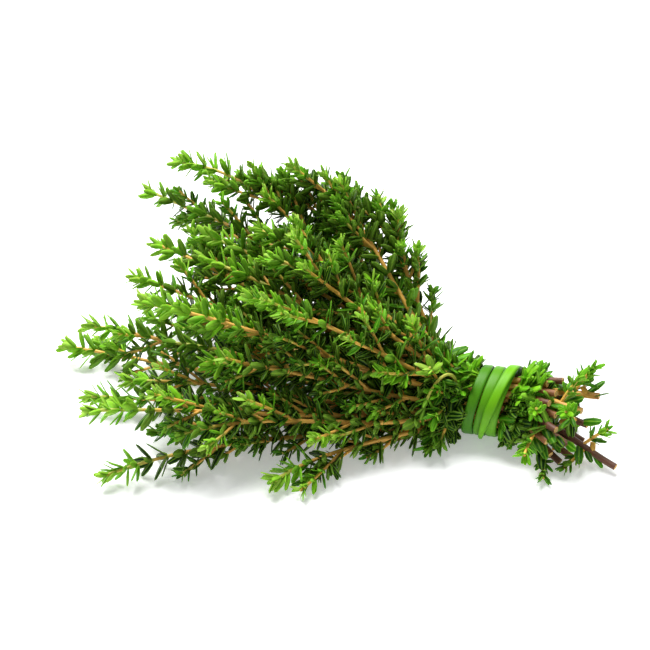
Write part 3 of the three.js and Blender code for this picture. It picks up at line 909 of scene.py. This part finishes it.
def mottle_group():
    """Uneven colour and a fine grain, for leaves, bark and the strip alike."""
    group = bpy.data.node_groups.new("Plant mottle", "ShaderNodeTree")
    face = group.interface
    face.new_socket("Colour", in_out="INPUT", socket_type="NodeSocketColor")
    for name, value in (("Patch scale", 200.0), ("Grain scale", 1500.0), ("Darkening", 0.3)):
        face.new_socket(name, in_out="INPUT", socket_type="NodeSocketFloat").default_value = value
    face.new_socket("Stretch", in_out="INPUT", socket_type="NodeSocketVector").default_value = (1, 1, 1)
    face.new_socket("Colour", in_out="OUTPUT", socket_type="NodeSocketColor")
    face.new_socket("Height", in_out="OUTPUT", socket_type="NodeSocketFloat")
    given = group.nodes.new("NodeGroupInput")
    result = group.nodes.new("NodeGroupOutput")
    place = add_node(group, "ShaderNodeTexCoord").outputs["Object"]
    stretched = add_node(group, "ShaderNodeVectorMath", {0: place, 1: given.outputs["Stretch"]}, operation="MULTIPLY")
    patches = noise(group, stretched.outputs[0], given.outputs["Patch scale"], 3.0)
    grain = noise(group, stretched.outputs[0], given.outputs["Grain scale"], 4.0)
    spread = rescaled(group, patches, 0.35, 0.7, 0.0, 1.0)
    amount = math_node(group, "MULTIPLY", spread, given.outputs["Darkening"])
    shade = {"Saturation": 1.05, "Value": 0.45, "Color": given.outputs["Colour"]}
    darker = add_node(group, "ShaderNodeHueSaturation", shade)
    group.links.new(mixed(group, amount, given.outputs["Colour"], darker.outputs[0]), result.inputs["Colour"])
    group.links.new(grain, result.inputs["Height"])
    return group


def new_material(name):
    """A material with one Principled BSDF, its node tree and that shader."""
    material = bpy.data.materials.new(name)
    material.use_nodes = True
    tree = material.node_tree
    shader = tree.nodes["Principled BSDF"]
    return material, tree, shader


def mottled(tree, colour, patch, grain, darkening, stretch=(1, 1, 1)):
    made = tree.nodes.new("ShaderNodeGroup")
    made.node_tree = bpy.data.node_groups.get("Plant mottle") or mottle_group()
    tree.links.new(colour, made.inputs["Colour"])
    made.inputs["Patch scale"].default_value = patch
    made.inputs["Grain scale"].default_value = grain
    made.inputs["Darkening"].default_value = darkening
    made.inputs["Stretch"].default_value = stretch
    return made.outputs["Colour"], made.outputs["Height"]


def bump(tree, shader, height, strength, distance):
    made = add_node(tree, "ShaderNodeBump", {"Strength": strength, "Distance": distance, "Height": height})
    tree.links.new(made.outputs[0], shader.inputs["Normal"])


def leaf_material(settings):
    material, tree, shader = new_material("thyme_leaf")
    tone = stored(tree, "tone")
    across, along, under = add_node(tree, "ShaderNodeSeparateXYZ", {0: stored(tree, "blade", "Vector")}).outputs
    # tone holds the leaf's age and painted shade from the leaves over it, so the darkest stop stands for both
    stops = ((0.0, settings.shade), (0.35, settings.mature), (0.7, settings.fresh), (1.0, settings.bud))
    colour = ramp(tree, tone, [(at, tuple(c)) for at, c in stops])
    width = math_node(tree, "ABSOLUTE", across)
    midrib = rescaled(tree, width, 0.05, 0.28, 0.45, 0.0, interpolation_type="SMOOTHSTEP")
    colour = mixed(tree, midrib, colour, tuple(settings.under))
    rim = rescaled(tree, width, 0.72, 1.0, 0.0, 0.4)
    colour = mixed(tree, rim, colour, tuple(settings.under))
    foot = rescaled(tree, along, 0.0, 0.25, 0.5, 0.0)
    colour = mixed(tree, foot, colour, tuple(settings.bud))
    colour = mixed(tree, math_node(tree, "MULTIPLY", under, 0.6), colour, tuple(settings.under))
    colour, grain = mottled(tree, colour, 260.0, 2200.0, 0.45)
    tree.links.new(colour, shader.inputs["Base Color"])
    tree.links.new(rescaled(tree, under, 0.0, 1.0, 0.38, 0.6), shader.inputs["Roughness"])
    shader.inputs["Specular IOR Level"].default_value = 0.14
    shader.inputs["Subsurface Weight"].default_value = 0.18
    shader.inputs["Subsurface Radius"].default_value = (0.6, 1.0, 0.12)
    shader.inputs["Subsurface Scale"].default_value = 0.0012
    bump(tree, shader, math_node(tree, "ADD", grain, midrib), 0.35, 0.0002)
    return material


def stem_material(settings):
    material, tree, shader = new_material("thyme_stem")
    place = add_node(tree, "ShaderNodeTexCoord").outputs["Object"]
    drift = noise(tree, place, 70.0, 3.0)
    shift = math_node(tree, "MULTIPLY", math_node(tree, "SUBTRACT", drift, 0.5), 0.5)
    young = ((0.0, settings.green), (0.12, settings.tan), (0.7, settings.tan))
    old = ((0.82, settings.brown), (0.95, settings.dark))
    # the stored value is the bark's age with painted shade added on the stems deep in the bundle, which pushes them
    # towards the brown and old wood
    age = math_node(tree, "ADD", stored(tree, "age"), shift)
    colour = ramp(tree, age, [(at, tuple(c)) for at, c in (*young, *old)])
    colour, grain = mottled(tree, colour, 420.0, 2600.0, 0.45, (0.25, 1, 1))
    tree.links.new(colour, shader.inputs["Base Color"])
    shader.inputs["Roughness"].default_value = 0.52
    bump(tree, shader, grain, 0.6, 0.0003)
    return material


def cut_material(settings):
    material, tree, shader = new_material("thyme_cut_wood")
    pith, wood, bark = tuple(0.75 * c for c in settings.cut), tuple(settings.cut), tuple(settings.tan)
    colour = ramp(tree, stored(tree, "ring"), ((0.0, pith), (0.25, wood), (0.75, wood), (1.0, bark)))
    colour, grain = mottled(tree, colour, 900.0, 3500.0, 0.35)
    tree.links.new(colour, shader.inputs["Base Color"])
    shader.inputs["Roughness"].default_value = 0.75
    bump(tree, shader, grain, 0.5, 0.0002)
    return material


def tie_material(settings):
    material, tree, shader = new_material("leaf_strip")
    across, along, light = add_node(tree, "ShaderNodeSeparateXYZ", {0: stored(tree, "strip", "Vector")}).outputs
    drawn_out = {0: math_node(tree, "MULTIPLY", across, 9.0), 1: math_node(tree, "MULTIPLY", along, 0.12)}
    veins = noise(tree, add_node(tree, "ShaderNodeCombineXYZ", drawn_out).outputs[0], 1.0, 2.0)
    # painted shade: the strip is darkened towards its edges, where it folds round
    edge = rescaled(tree, math_node(tree, "ABSOLUTE", across), 0.55, 1.0, 0.0, 0.55)
    colour = mixed(tree, light, tuple(settings.deep), tuple(settings.bright))
    streak = rescaled(tree, veins, 0.4, 0.75, 0.0, 0.45)
    colour = mixed(tree, streak, colour, tuple(0.6 * c for c in settings.bright))
    colour = mixed(tree, edge, colour, tuple(settings.deep))
    colour, grain = mottled(tree, colour, 120.0, 1800.0, 0.2)
    tree.links.new(colour, shader.inputs["Base Color"])
    shader.inputs["Roughness"].default_value = 0.42
    shader.inputs["Specular IOR Level"].default_value = 0.2
    shader.inputs["Subsurface Weight"].default_value = 0.05
    shader.inputs["Subsurface Scale"].default_value = 0.001
    bump(tree, shader, math_node(tree, "ADD", veins, math_node(tree, "MULTIPLY", grain, 0.3)), 0.35, 0.0003)
    return material


def floor_material(settings):
    material, tree, shader = new_material("pale_surface")
    place = add_node(tree, "ShaderNodeTexCoord").outputs["Object"]
    grain = noise(tree, place, 900.0, 2.0)
    shader.inputs["Base Color"].default_value = (*settings.floor, 1)
    shader.inputs["Emission Color"].default_value = (*settings.floor, 1)
    shader.inputs["Emission Strength"].default_value = settings.glow
    shader.inputs["Roughness"].default_value = 0.9
    shader.inputs["Specular IOR Level"].default_value = 0.1
    bump(tree, shader, grain, 0.05, 0.0001)
    return material


def new_object(name, mesh):
    made = bpy.data.objects.new(name, mesh)
    bpy.context.scene.collection.objects.link(made)
    return made


def set_attribute(mesh, name, kind, values):
    attribute = mesh.attributes.new(name, kind, "POINT")
    field = "vector" if kind == "FLOAT_VECTOR" else "value"
    attribute.data.foreach_set(field, np.asarray(values).ravel())


def mesh_from(name, corners, faces=(), edges=()):
    """A mesh from corners in the layout's millimetres."""
    mesh = bpy.data.meshes.new(name)
    mesh.from_pydata((np.asarray(corners) + SHIFT) * MM, edges, faces)
    return mesh


def add_tree(obj, tree, values):
    """A Geometry Nodes modifier on obj with its inputs set, each by its socket's identifier."""
    modifier = obj.modifiers.new(tree.name, "NODES")
    modifier.node_group = tree
    for item in tree.interface.items_tree:
        if item.in_out == "INPUT" and item.name in values:
            modifier[item.identifier] = values[item.name]
    return modifier


def settle(obj):
    """Turns what obj's modifiers make into its plain mesh."""
    graph = bpy.context.evaluated_depsgraph_get()
    mesh = bpy.data.meshes.new_from_object(obj.evaluated_get(graph), preserve_all_data_layers=True, depsgraph=graph)
    obj.modifiers.clear()
    obj.data = mesh


def finish_piece(obj, nodes):
    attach(obj, "root")
    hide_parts(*nodes)


def layer_nodes(layer):
    return [f"sprig_{i + 1:02d}" for i in LAYERS[layer]]


def new_tree(name, inputs):
    """A Geometry Nodes tree with its named inputs, its input node and its output node."""
    tree = bpy.data.node_groups.new(name, "GeometryNodeTree")
    tree.interface.new_socket("Geometry", in_out="INPUT", socket_type="NodeSocketGeometry")
    for label, kind, value in inputs:
        socket = tree.interface.new_socket(label, in_out="INPUT", socket_type=kind)
        if value is not None:
            socket.default_value = value
    tree.interface.new_socket("Geometry", in_out="OUTPUT", socket_type="NodeSocketGeometry")
    return tree, tree.nodes.new("NodeGroupInput"), tree.nodes.new("NodeGroupOutput")


def end_tree(tree, geometry, given, result):
    """Real geometry, smooth, with the material: how every tree here ends."""
    smooth = add_node(tree, "GeometryNodeSetShadeSmooth", {"Geometry": geometry})
    real = add_node(tree, "GeometryNodeRealizeInstances", {"Geometry": smooth.outputs[0]})
    sockets = {"Geometry": real.outputs[0], "Material": given.outputs["Material"]}
    painted = add_node(tree, "GeometryNodeSetMaterial", sockets)
    tree.links.new(painted.outputs[0], result.inputs[0])


def named(tree, name, kind):
    """What the points keep under this name."""
    return add_node(tree, "GeometryNodeInputNamedAttribute", {"Name": name}, data_type=kind).outputs[0]


def foliage_tree():
    """Sets one of the blade shapes on each point, turned and sized by the point's own values."""
    inputs = (
        ("Blades", "NodeSocketCollection", None),
        ("Size", "NodeSocketFloat", 1.0),
        ("Size spread", "NodeSocketFloat", 0.06),
        ("Seed", "NodeSocketInt", 7),
        ("Material", "NodeSocketMaterial", None),
    )
    tree, given, result = new_tree("Leaf foliage", inputs)
    blades = {"Collection": given.outputs["Blades"], "Separate Children": True, "Reset Children": True}
    shapes = add_node(tree, "GeometryNodeCollectionInfo", blades)
    least = math_node(tree, "SUBTRACT", given.outputs["Size"], given.outputs["Size spread"])
    range_of_sizes = {2: least, 3: given.outputs["Size"], "Seed": given.outputs["Seed"]}
    chance = add_node(tree, "FunctionNodeRandomValue", range_of_sizes, data_type="FLOAT")
    sized = {0: named(tree, "size", "FLOAT_VECTOR"), "Scale": chance.outputs[1]}
    sockets = {
        "Points": given.outputs["Geometry"],
        "Instance": shapes.outputs[0],
        "Pick Instance": True,
        "Instance Index": named(tree, "shape", "INT"),
        "Rotation": add_node(tree, "FunctionNodeEulerToRotation", {0: named(tree, "turn", "FLOAT_VECTOR")}).outputs[0],
        "Scale": add_node(tree, "ShaderNodeVectorMath", sized, operation="SCALE").outputs[0],
    }
    set_on = add_node(tree, "GeometryNodeInstanceOnPoints", sockets)
    end_tree(tree, set_on.outputs[0], given, result)
    return tree


def twig_tree():
    """Skins each chain of edges as a stem with uneven bark."""
    inputs = (
        ("Sides", "NodeSocketInt", 9),
        ("Bark depth", "NodeSocketFloat", 0.0002),
        ("Bark scale", "NodeSocketFloat", 900.0),
        ("Seed", "NodeSocketInt", 3),
        ("Material", "NodeSocketMaterial", None),
    )
    tree, given, result = new_tree("Stem skin", inputs)
    curve = add_node(tree, "GeometryNodeMeshToCurve", {"Mesh": given.outputs["Geometry"]})
    profile = add_node(tree, "GeometryNodeCurvePrimitiveCircle", {"Resolution": given.outputs["Sides"], "Radius": 1.0})
    girth = named(tree, "girth", "FLOAT")
    sockets = {"Curve": curve.outputs[0], "Profile Curve": profile.outputs[0], "Scale": girth, "Fill Caps": True}
    skin = add_node(tree, "GeometryNodeCurveToMesh", sockets)
    position = add_node(tree, "GeometryNodeInputPosition").outputs[0]
    drawn_out = add_node(tree, "ShaderNodeVectorMath", {0: position, 1: (0.35, 1, 1)}, operation="MULTIPLY").outputs[0]
    sockets = {"Vector": drawn_out, "W": given.outputs["Seed"], "Scale": given.outputs["Bark scale"]}
    ridges = add_node(tree, "ShaderNodeTexNoise", sockets, noise_dimensions="4D").outputs[0]
    raised = math_node(tree, "MULTIPLY", math_node(tree, "SUBTRACT", ridges, 0.5), given.outputs["Bark depth"])
    outward = add_node(tree, "GeometryNodeInputNormal").outputs[0]
    offset = add_node(tree, "ShaderNodeVectorMath", {0: outward, "Scale": raised}, operation="SCALE")
    bark = add_node(tree, "GeometryNodeSetPosition", {"Geometry": skin.outputs[0], "Offset": offset.outputs[0]})
    end_tree(tree, bark.outputs[0], given, result)
    return tree


# Rows of a blade: how far along its length, and how wide against its widest; then points across its face and its back
BLADE_ROWS = ((0.0, 0.16), (0.24, 0.8), (0.58, 1.0), (0.91, 0.62))
BLADE_COLUMNS = (-1.0, -0.55, 0.0, 0.55, 1.0)
BLADE_UNDER = (0.0,)
GROOVE = {"depth": 0.07, "width": 0.3}  # along the midrib, against the blade's width there


def blade_mesh(name, curl, roll, bow, thickness):
    """A closed blade of unit length along +Y, its face up: curled back at the tip, rolled under at its edges."""
    corners, marks = [], []

    def put(across, along, width, depth, under):
        half = 0.5 * width
        x = across * half + bow * along * along
        groove = GROOVE["depth"] * math.exp(-((across / GROOVE["width"]) ** 2)) * width
        z = -curl * along * along - roll * across * across * half - groove
        corners.append((x, along, z - depth))
        marks.append((across, along, under))

    for along, share in BLADE_ROWS:
        width = share * LEAF_WIDTH
        for across in BLADE_COLUMNS:
            put(across, along, width, 0.0, 0.5 if abs(across) == 1 else 0.0)
        for across in BLADE_UNDER:
            put(across, along, width, thickness * (0.6 + 0.4 * share), 1.0)
    ring, rows = len(BLADE_COLUMNS) + len(BLADE_UNDER), len(BLADE_ROWS)
    put(0, 1.0, 0.0, 0.4 * thickness, 0.5)
    faces = [tuple(range(ring))]
    for row in range(rows - 1):
        for j in range(ring):
            a, b = row * ring + j, row * ring + (j + 1) % ring
            faces.append((b, a, a + ring, b + ring))
    last = (rows - 1) * ring
    faces += [(last + (j + 1) % ring, last + j, rows * ring) for j in range(ring)]
    mesh = bpy.data.meshes.new(name)
    mesh.from_pydata(corners, [], faces)
    set_attribute(mesh, "blade", "FLOAT_VECTOR", marks)
    return mesh


KNOT_LENGTH = 1.1  # a stem swells so far either way of a pair of leaves, and by this share
KNOT_SWELL = 0.16
WOODY_SWELL = 0.12  # and by this one towards the cut end, over so far past the tie
WOODY_LENGTH = 20
NECK_AGE = 0.16  # stems are darker in the tie, over so far either way
NECK_AGE_LENGTH = 18
# painted shade: how much darker the bark of the stems deep in the bundle is made
INNER_SHADE = 0.15
KNOT_YOUTH = 0.08  # how much younger the bark is at a knot
# Ages at the base, and how much they change up to the tip
STUB_AGES = (0.62, 0.1)
SHOOT_AGES = (0.28, -0.2)


def bark_age(twig, path, share):
    """How old a twig's bark looks along its path, from 0, green, to 1, dark, with painted shade added on the stems deep
    in the bundle; share runs from its base to its tip.
    """
    if twig.is_stub:
        return STUB_AGES[0] + STUB_AGES[1] * share
    if twig.is_shoot:
        return (SHOOT_AGES[0] + SHOOT_AGES[1] * share) * (1 - twig.tint)
    oldest = BARK_AGE.get(twig.sprig, 0.8 + 0.022 * (twig.sprig * 7 % 9))
    age = NECK_AGE * np.exp(-((path[:, 0] / NECK_AGE_LENGTH) ** 2)) + (1 - share) * oldest
    return age + INNER_SHADE * (twig.sprig in INNER_SPRIGS)


class THYME_OT_stems(bpy.types.Operator):
    """Make the stems and side shoots, one piece for each layer of the bundle"""

    bl_idname = "thyme.stems"
    bl_label = "Stems"

    def execute(self, context):
        settings = context.scene.thyme_stems
        tree, material = twig_tree(), stem_material(settings)
        for layer, sprigs in LAYERS.items():
            corners, edges, girths, ages_and_shade = [], [], [], []
            for twig in (t for t in TWIGS if t.sprig in sprigs):
                path = twig.fine_path
                steps = np.concatenate([[0], np.cumsum(np.linalg.norm(path[1:] - path[:-1], axis=1))])
                kept = np.concatenate([[True], np.diff(steps) > 1e-6])
                path, steps = path[kept], steps[kept]
                share = steps / steps[-1]
                knots = [twig.length - site for site in leaf_sites(twig.leafy)] + list(twig.cut_sites)
                swell = sum((np.exp(-(((steps - knot) / KNOT_LENGTH) ** 2)) for knot in knots), np.zeros(len(steps)))
                first = len(corners)
                corners.extend(path)
                edges.extend((first + i, first + i + 1) for i in range(len(path) - 1))
                radius = twig.radii[0] + (twig.radii[1] - twig.radii[0]) * share
                thick = 1 + WOODY_SWELL * np.clip(path[:, 0] / WOODY_LENGTH, 0, 1)
                girths.extend(radius * (thick + KNOT_SWELL * swell) * MM)
                ages_and_shade.extend(np.clip(bark_age(twig, path, share) - KNOT_YOUTH * swell, 0, 1))
            mesh = mesh_from(f"stems_{layer}", corners, (), edges)
            set_attribute(mesh, "girth", "FLOAT", girths)
            # the bark's age, with painted shade added on the stems deep in the bundle
            set_attribute(mesh, "age", "FLOAT", ages_and_shade)
            piece = new_object(f"stems_{layer}", mesh)
            values = {"Sides": settings.sides, "Bark depth": settings.bark_depth, "Material": material}
            add_tree(piece, tree, values)
            settle(piece)
            finish_piece(piece, layer_nodes(layer))
        return {"FINISHED"}


# Curl of the tip, roll of the edges and sideways bow of each blade shape, of its length
BLADE_FORMS = ((0.1, 0.3, 0.0), (0.17, 0.45, 0.03), (0.06, 0.2, -0.04), (0.24, 0.5, -0.02))
WIDTH_SPREAD = 0.08
TONE_SPREAD = 0.16


class THYME_OT_leaves(bpy.types.Operator):
    """Make the leaves, one piece for each layer of the bundle"""

    bl_idname = "thyme.leaves"
    bl_label = "Leaves"

    def execute(self, context):
        settings = context.scene.thyme_leaves
        tree, material = foliage_tree(), leaf_material(settings)
        shapes = bpy.data.collections.new("blade_shapes")
        context.scene.collection.children.link(shapes)
        depth = settings.thickness / (0.9 * LEAF_LENGTH * MM)
        for i, (curl, roll, bow) in enumerate(BLADE_FORMS):
            mesh = blade_mesh(f"blade_{i}", curl, roll, bow, depth)
            shapes.objects.link(bpy.data.objects.new(mesh.name, mesh))
        grown = grow_leaves(TWIGS)
        tones_seen = shaded(grown)
        draw = Draw(SEED + BLADE_SEED)
        for layer, sprigs in LAYERS.items():
            rows = [(leaf, tone) for (sprig, leaf, _), tone in zip(grown, tones_seen) if sprig in sprigs]
            points, turns, sizes, kinds, tones = [], [], [], [], []
            for (base, out, face, length), tone in rows:
                across = np.cross(out, face)
                matrix = Matrix(np.stack([across, out, face], 1).tolist())
                points.append(base)
                turns.append(tuple(matrix.to_euler("XYZ")))
                width = settings.fullness * draw.around(1, WIDTH_SPREAD)
                sizes.append((length * MM * width, length * MM, length * MM))
                kinds.append(int(draw.next() * len(BLADE_FORMS)) % len(BLADE_FORMS))
                tones.append(min(1, max(0, tone + draw.around(0, TONE_SPREAD))))
            mesh = mesh_from(f"leaves_{layer}", points)
            set_attribute(mesh, "turn", "FLOAT_VECTOR", turns)
            set_attribute(mesh, "size", "FLOAT_VECTOR", sizes)
            set_attribute(mesh, "shape", "INT", kinds)
            set_attribute(mesh, "tone", "FLOAT", tones)
            piece = new_object(f"leaves_{layer}", mesh)
            add_tree(piece, tree, {"Blades": shapes, "Size": 1.0, "Material": material})
            settle(piece)
            finish_piece(piece, layer_nodes(layer))
        for shape in list(shapes.objects):
            bpy.data.objects.remove(shape)
        bpy.data.collections.remove(shapes)
        return {"FINISHED"}


# Rings of a cut face, from its middle out and back round the bark: share of the radius, depth, and place in the wood
CUT_PROFILE = ((0.0, 0.0, 0.0), (0.55, 0.0, 0.5), (0.9, -0.03, 0.9), (0.96, -0.12, 1.0), (0.7, -0.5, 1.0))
CUT_SIDES = 14
CUT_PROUD = 0.16  # how far a cut face stands past its stem
CUT_FULL = 1.1  # and how much wider than the rule it is, as the stems are there


class THYME_OT_cut_ends(bpy.types.Operator):
    """Make the pale cut faces of the stems"""

    bl_idname = "thyme.cut_ends"
    bl_label = "Cut ends"

    def execute(self, context):
        sides, corners, faces, rings = CUT_SIDES, [], [], []
        for twig in (t for t in TWIGS if not t.is_shoot):
            _, direction, side, up = twig.frame_at(0.01)
            radius = twig.radii[0] * (1 if twig.is_stub else CUT_FULL)
            first = len(corners)
            corners.append(twig.path[0] - direction * CUT_PROUD)
            rings.append(0.0)
            for share, depth, ring in CUT_PROFILE[1:]:
                for k in range(sides):
                    angle = 2 * math.pi * k / sides
                    spoke = side * math.cos(angle) + up * math.sin(angle)
                    corners.append(twig.path[0] - direction * (CUT_PROUD + depth) + spoke * radius * share)
                    rings.append(ring)
            for k in range(sides):
                faces.append((first, first + 1 + (k + 1) % sides, first + 1 + k))
            for row in range(len(CUT_PROFILE) - 2):
                for k in range(sides):
                    a, b = first + 1 + row * sides + k, first + 1 + row * sides + (k + 1) % sides
                    faces.append((a, b, b + sides, a + sides))
            last = first + 1 + (len(CUT_PROFILE) - 2) * sides
            faces.append(tuple(last + k for k in range(sides)))
        mesh = mesh_from("cut_ends", corners, faces)
        set_attribute(mesh, "ring", "FLOAT", rings)
        mesh.shade_smooth()
        mesh.materials.append(cut_material(context.scene.thyme_stems))
        finish_piece(new_object("cut_ends", mesh), [f"sprig_{i + 1:02d}" for i in range(len(SPRIGS))])
        return {"FINISHED"}


STRIP_FINE = 6  # the drawn strip has this many times the solid's steps
STRIP_SIDES = 16
STRIP_SLIM = 0.1  # how much thinner the strip is than its solid
STRIP_TAPER = {"least": 0.25, "rate": 12}  # its width at its very ends, and how fast it grows from there
STRIP_WAVES = {"width": (0.05, 3.1), "rise": (0.1, 2.3)}  # height of a wave, and how many there are in a turn
STRIP_RISE = 0.05
STRIP_SUNK = 0.2  # how far it is pressed in against the stems
STRIP_LIGHT = {"first": 0.1, "turn": 0.27, "wave": 0.12}  # colour, darker in the turns that were wound first
MIDRIB_DIP = {"depth": 0.22, "width": 0.35}


def rounded(value, power):
    """A value from -1 to 1, pushed out to the nearer end."""
    return math.copysign(abs(value) ** power, value)


class THYME_OT_tie(bpy.types.Operator):
    """Make the leaf strip that is wound round the stems"""

    bl_idname = "thyme.tie"
    bl_label = "Tie"

    def execute(self, context):
        sides, stations = STRIP_SIDES, tie_layout(STRIP_FINE)
        corners, marks, faces = [], [], []
        draw = Draw(SEED + STRIP_SEED)
        phase = [draw.next() * 2 * math.pi for _ in range(3)]
        thick = 0.5 * (TIE_THICKNESS - STRIP_SLIM)
        (widening, width_waves), (rising, rise_waves) = STRIP_WAVES["width"], STRIP_WAVES["rise"]
        for k, (angle, x, radius) in enumerate(stations):
            turn = k / (STRIP_FINE * TIE_STEPS)
            share = k / (len(stations) - 1)
            ends = min(1, STRIP_TAPER["least"] + STRIP_TAPER["rate"] * min(share, 1 - share))
            width = TIE_WIDTH * (1 + widening * math.sin(width_waves * turn * 2 * math.pi + phase[0])) * ends
            rise = STRIP_RISE + rising * math.sin(rise_waves * turn * 2 * math.pi + phase[1])
            middle = radius - STRIP_SUNK + thick + rise
            light = STRIP_LIGHT["first"] + STRIP_LIGHT["turn"] * turn + STRIP_LIGHT["wave"] * math.sin(angle + phase[2])
            for j in range(sides):
                bend = 2 * math.pi * j / sides
                across, depth = rounded(math.cos(bend), 0.75), math.sin(bend)
                dip = -MIDRIB_DIP["depth"] * math.exp(-((across / MIDRIB_DIP["width"]) ** 2)) if depth > 0 else 0
                r = middle + thick * (rounded(depth, 0.8) + dip)
                place = (x + 0.5 * width * across, r * math.cos(angle), AXIS_HEIGHT + r * math.sin(angle))
                corners.append(above(place, 0.03))
                marks.append((across, 0.25 * k, min(1, max(0, light))))
        for k in range(len(stations) - 1):
            for j in range(sides):
                a, b = k * sides + j, k * sides + (j + 1) % sides
                faces.append((a, b, b + sides, a + sides))
        last = (len(stations) - 1) * sides
        faces.append(tuple(range(sides))[::-1])
        faces.append(tuple(last + j for j in range(sides)))
        mesh = mesh_from("tie_strip", corners, faces)
        set_attribute(mesh, "strip", "FLOAT_VECTOR", marks)
        mesh.shade_smooth()
        mesh.materials.append(tie_material(context.scene.thyme_tie))
        finish_piece(new_object("tie_strip", mesh), ["tie"])
        return {"FINISHED"}


# The photograph's viewing angle
VIEW_AZIMUTH = 12
VIEW_ELEVATION = 38
VIEW_DISTANCE = 700
PIXELS_PER_MM = 2.45
TIE_PIXEL = (490, 400)
TIE_CENTRE_HEIGHT = 15
FRAME_PIXELS = 650
SENSOR_WIDTH = 36
FLOOR_HALF = 3
KEY_LIGHT_ANGLE = 42  # a wide source, so that the shadows are soft
KEY_LIGHT_HEADING = (0.35, -0.45, -1.0)


class THYME_OT_stage(bpy.types.Operator):
    """Make the pale surface, the soft light and the camera"""

    bl_idname = "thyme.stage"
    bl_label = "Stage"

    def execute(self, context):
        settings = context.scene.thyme_stage
        floor = bpy.data.meshes.new("surface")
        signs = ((-1, -1), (1, -1), (1, 1), (-1, 1))
        floor.from_pydata([(FLOOR_HALF * x, FLOOR_HALF * y, 0) for x, y in signs], [], [(0, 1, 2, 3)])
        floor.materials.append(floor_material(settings))
        new_object("surface", floor)
        a, e = math.radians(VIEW_AZIMUTH), math.radians(VIEW_ELEVATION)
        back = vec(math.sin(a) * math.cos(e), -math.cos(a) * math.cos(e), math.sin(e))
        right = vec(math.cos(a), math.sin(a), 0)
        up = np.cross(back, right)
        beside = (TIE_PIXEL[0] - FRAME_PIXELS / 2) / PIXELS_PER_MM
        over = (FRAME_PIXELS / 2 - TIE_PIXEL[1]) / PIXELS_PER_MM
        eye = vec(0, 0, TIE_CENTRE_HEIGHT) + SHIFT - right * beside - up * over + back * VIEW_DISTANCE
        camera = bpy.data.cameras.new("camera")
        camera.sensor_width = SENSOR_WIDTH
        camera.lens = camera.sensor_width * PIXELS_PER_MM * VIEW_DISTANCE / FRAME_PIXELS
        camera.clip_start, camera.clip_end = 0.01, 20
        viewer = new_object("camera", camera)
        viewer.location = eye * MM
        viewer.rotation_euler = Matrix(np.stack([right, up, back], 1).tolist()).to_euler()
        context.scene.camera = viewer
        sun = bpy.data.lights.new("soft_key", "SUN")
        sun.energy, sun.angle = settings.sun, math.radians(KEY_LIGHT_ANGLE)
        key = new_object("soft_key", sun)
        key.rotation_euler = Vector(KEY_LIGHT_HEADING).to_track_quat("-Z", "Y").to_euler()
        world = bpy.data.worlds.new("sky")
        world.use_nodes = True
        world.node_tree.nodes["Background"].inputs[0].default_value = (1, 1, 1, 1)
        world.node_tree.nodes["Background"].inputs[1].default_value = settings.sky
        context.scene.world = world
        context.scene.view_settings.view_transform = "Standard"
        return {"FINISHED"}


class THYME_PT_panel(bpy.types.Panel):
    """The pieces of the bundle and their settings"""

    bl_label = "Thyme Bundle"
    bl_idname = "THYME_PT_panel"
    bl_space_type = "VIEW_3D"
    bl_region_type = "UI"
    bl_category = "Thyme"

    def draw(self, context):
        for operator, group in OPERATORS:
            box = self.layout.box()
            box.operator(operator.bl_idname)
            settings = getattr(context.scene, group)
            for name in settings.__annotations__:
                box.prop(settings, name)


OPERATORS = (
    (THYME_OT_stage, "thyme_stage"),
    (THYME_OT_tie, "thyme_tie"),
    (THYME_OT_stems, "thyme_stems"),
    (THYME_OT_cut_ends, "thyme_stems"),
    (THYME_OT_leaves, "thyme_leaves"),
)
SETTINGS = {
    "thyme_leaves": LeafSettings,
    "thyme_stems": StemSettings,
    "thyme_tie": TieSettings,
    "thyme_stage": StageSettings,
}


def register():
    for cls in (*SETTINGS.values(), *(operator for operator, _ in OPERATORS), THYME_PT_panel):
        bpy.utils.register_class(cls)
    for name, cls in SETTINGS.items():
        setattr(bpy.types.Scene, name, bpy.props.PointerProperty(type=cls))


def unregister():
    for name in SETTINGS:
        delattr(bpy.types.Scene, name)
    for cls in (THYME_PT_panel, *(operator for operator, _ in OPERATORS[::-1]), *SETTINGS.values()):
        bpy.utils.unregister_class(cls)


def main():
    register()
    bpy.ops.thyme.stage()
    bpy.ops.thyme.tie()
    bpy.ops.thyme.stems()
    bpy.ops.thyme.cut_ends()
    bpy.ops.thyme.leaves()


if __name__ == "__main__":
    main()
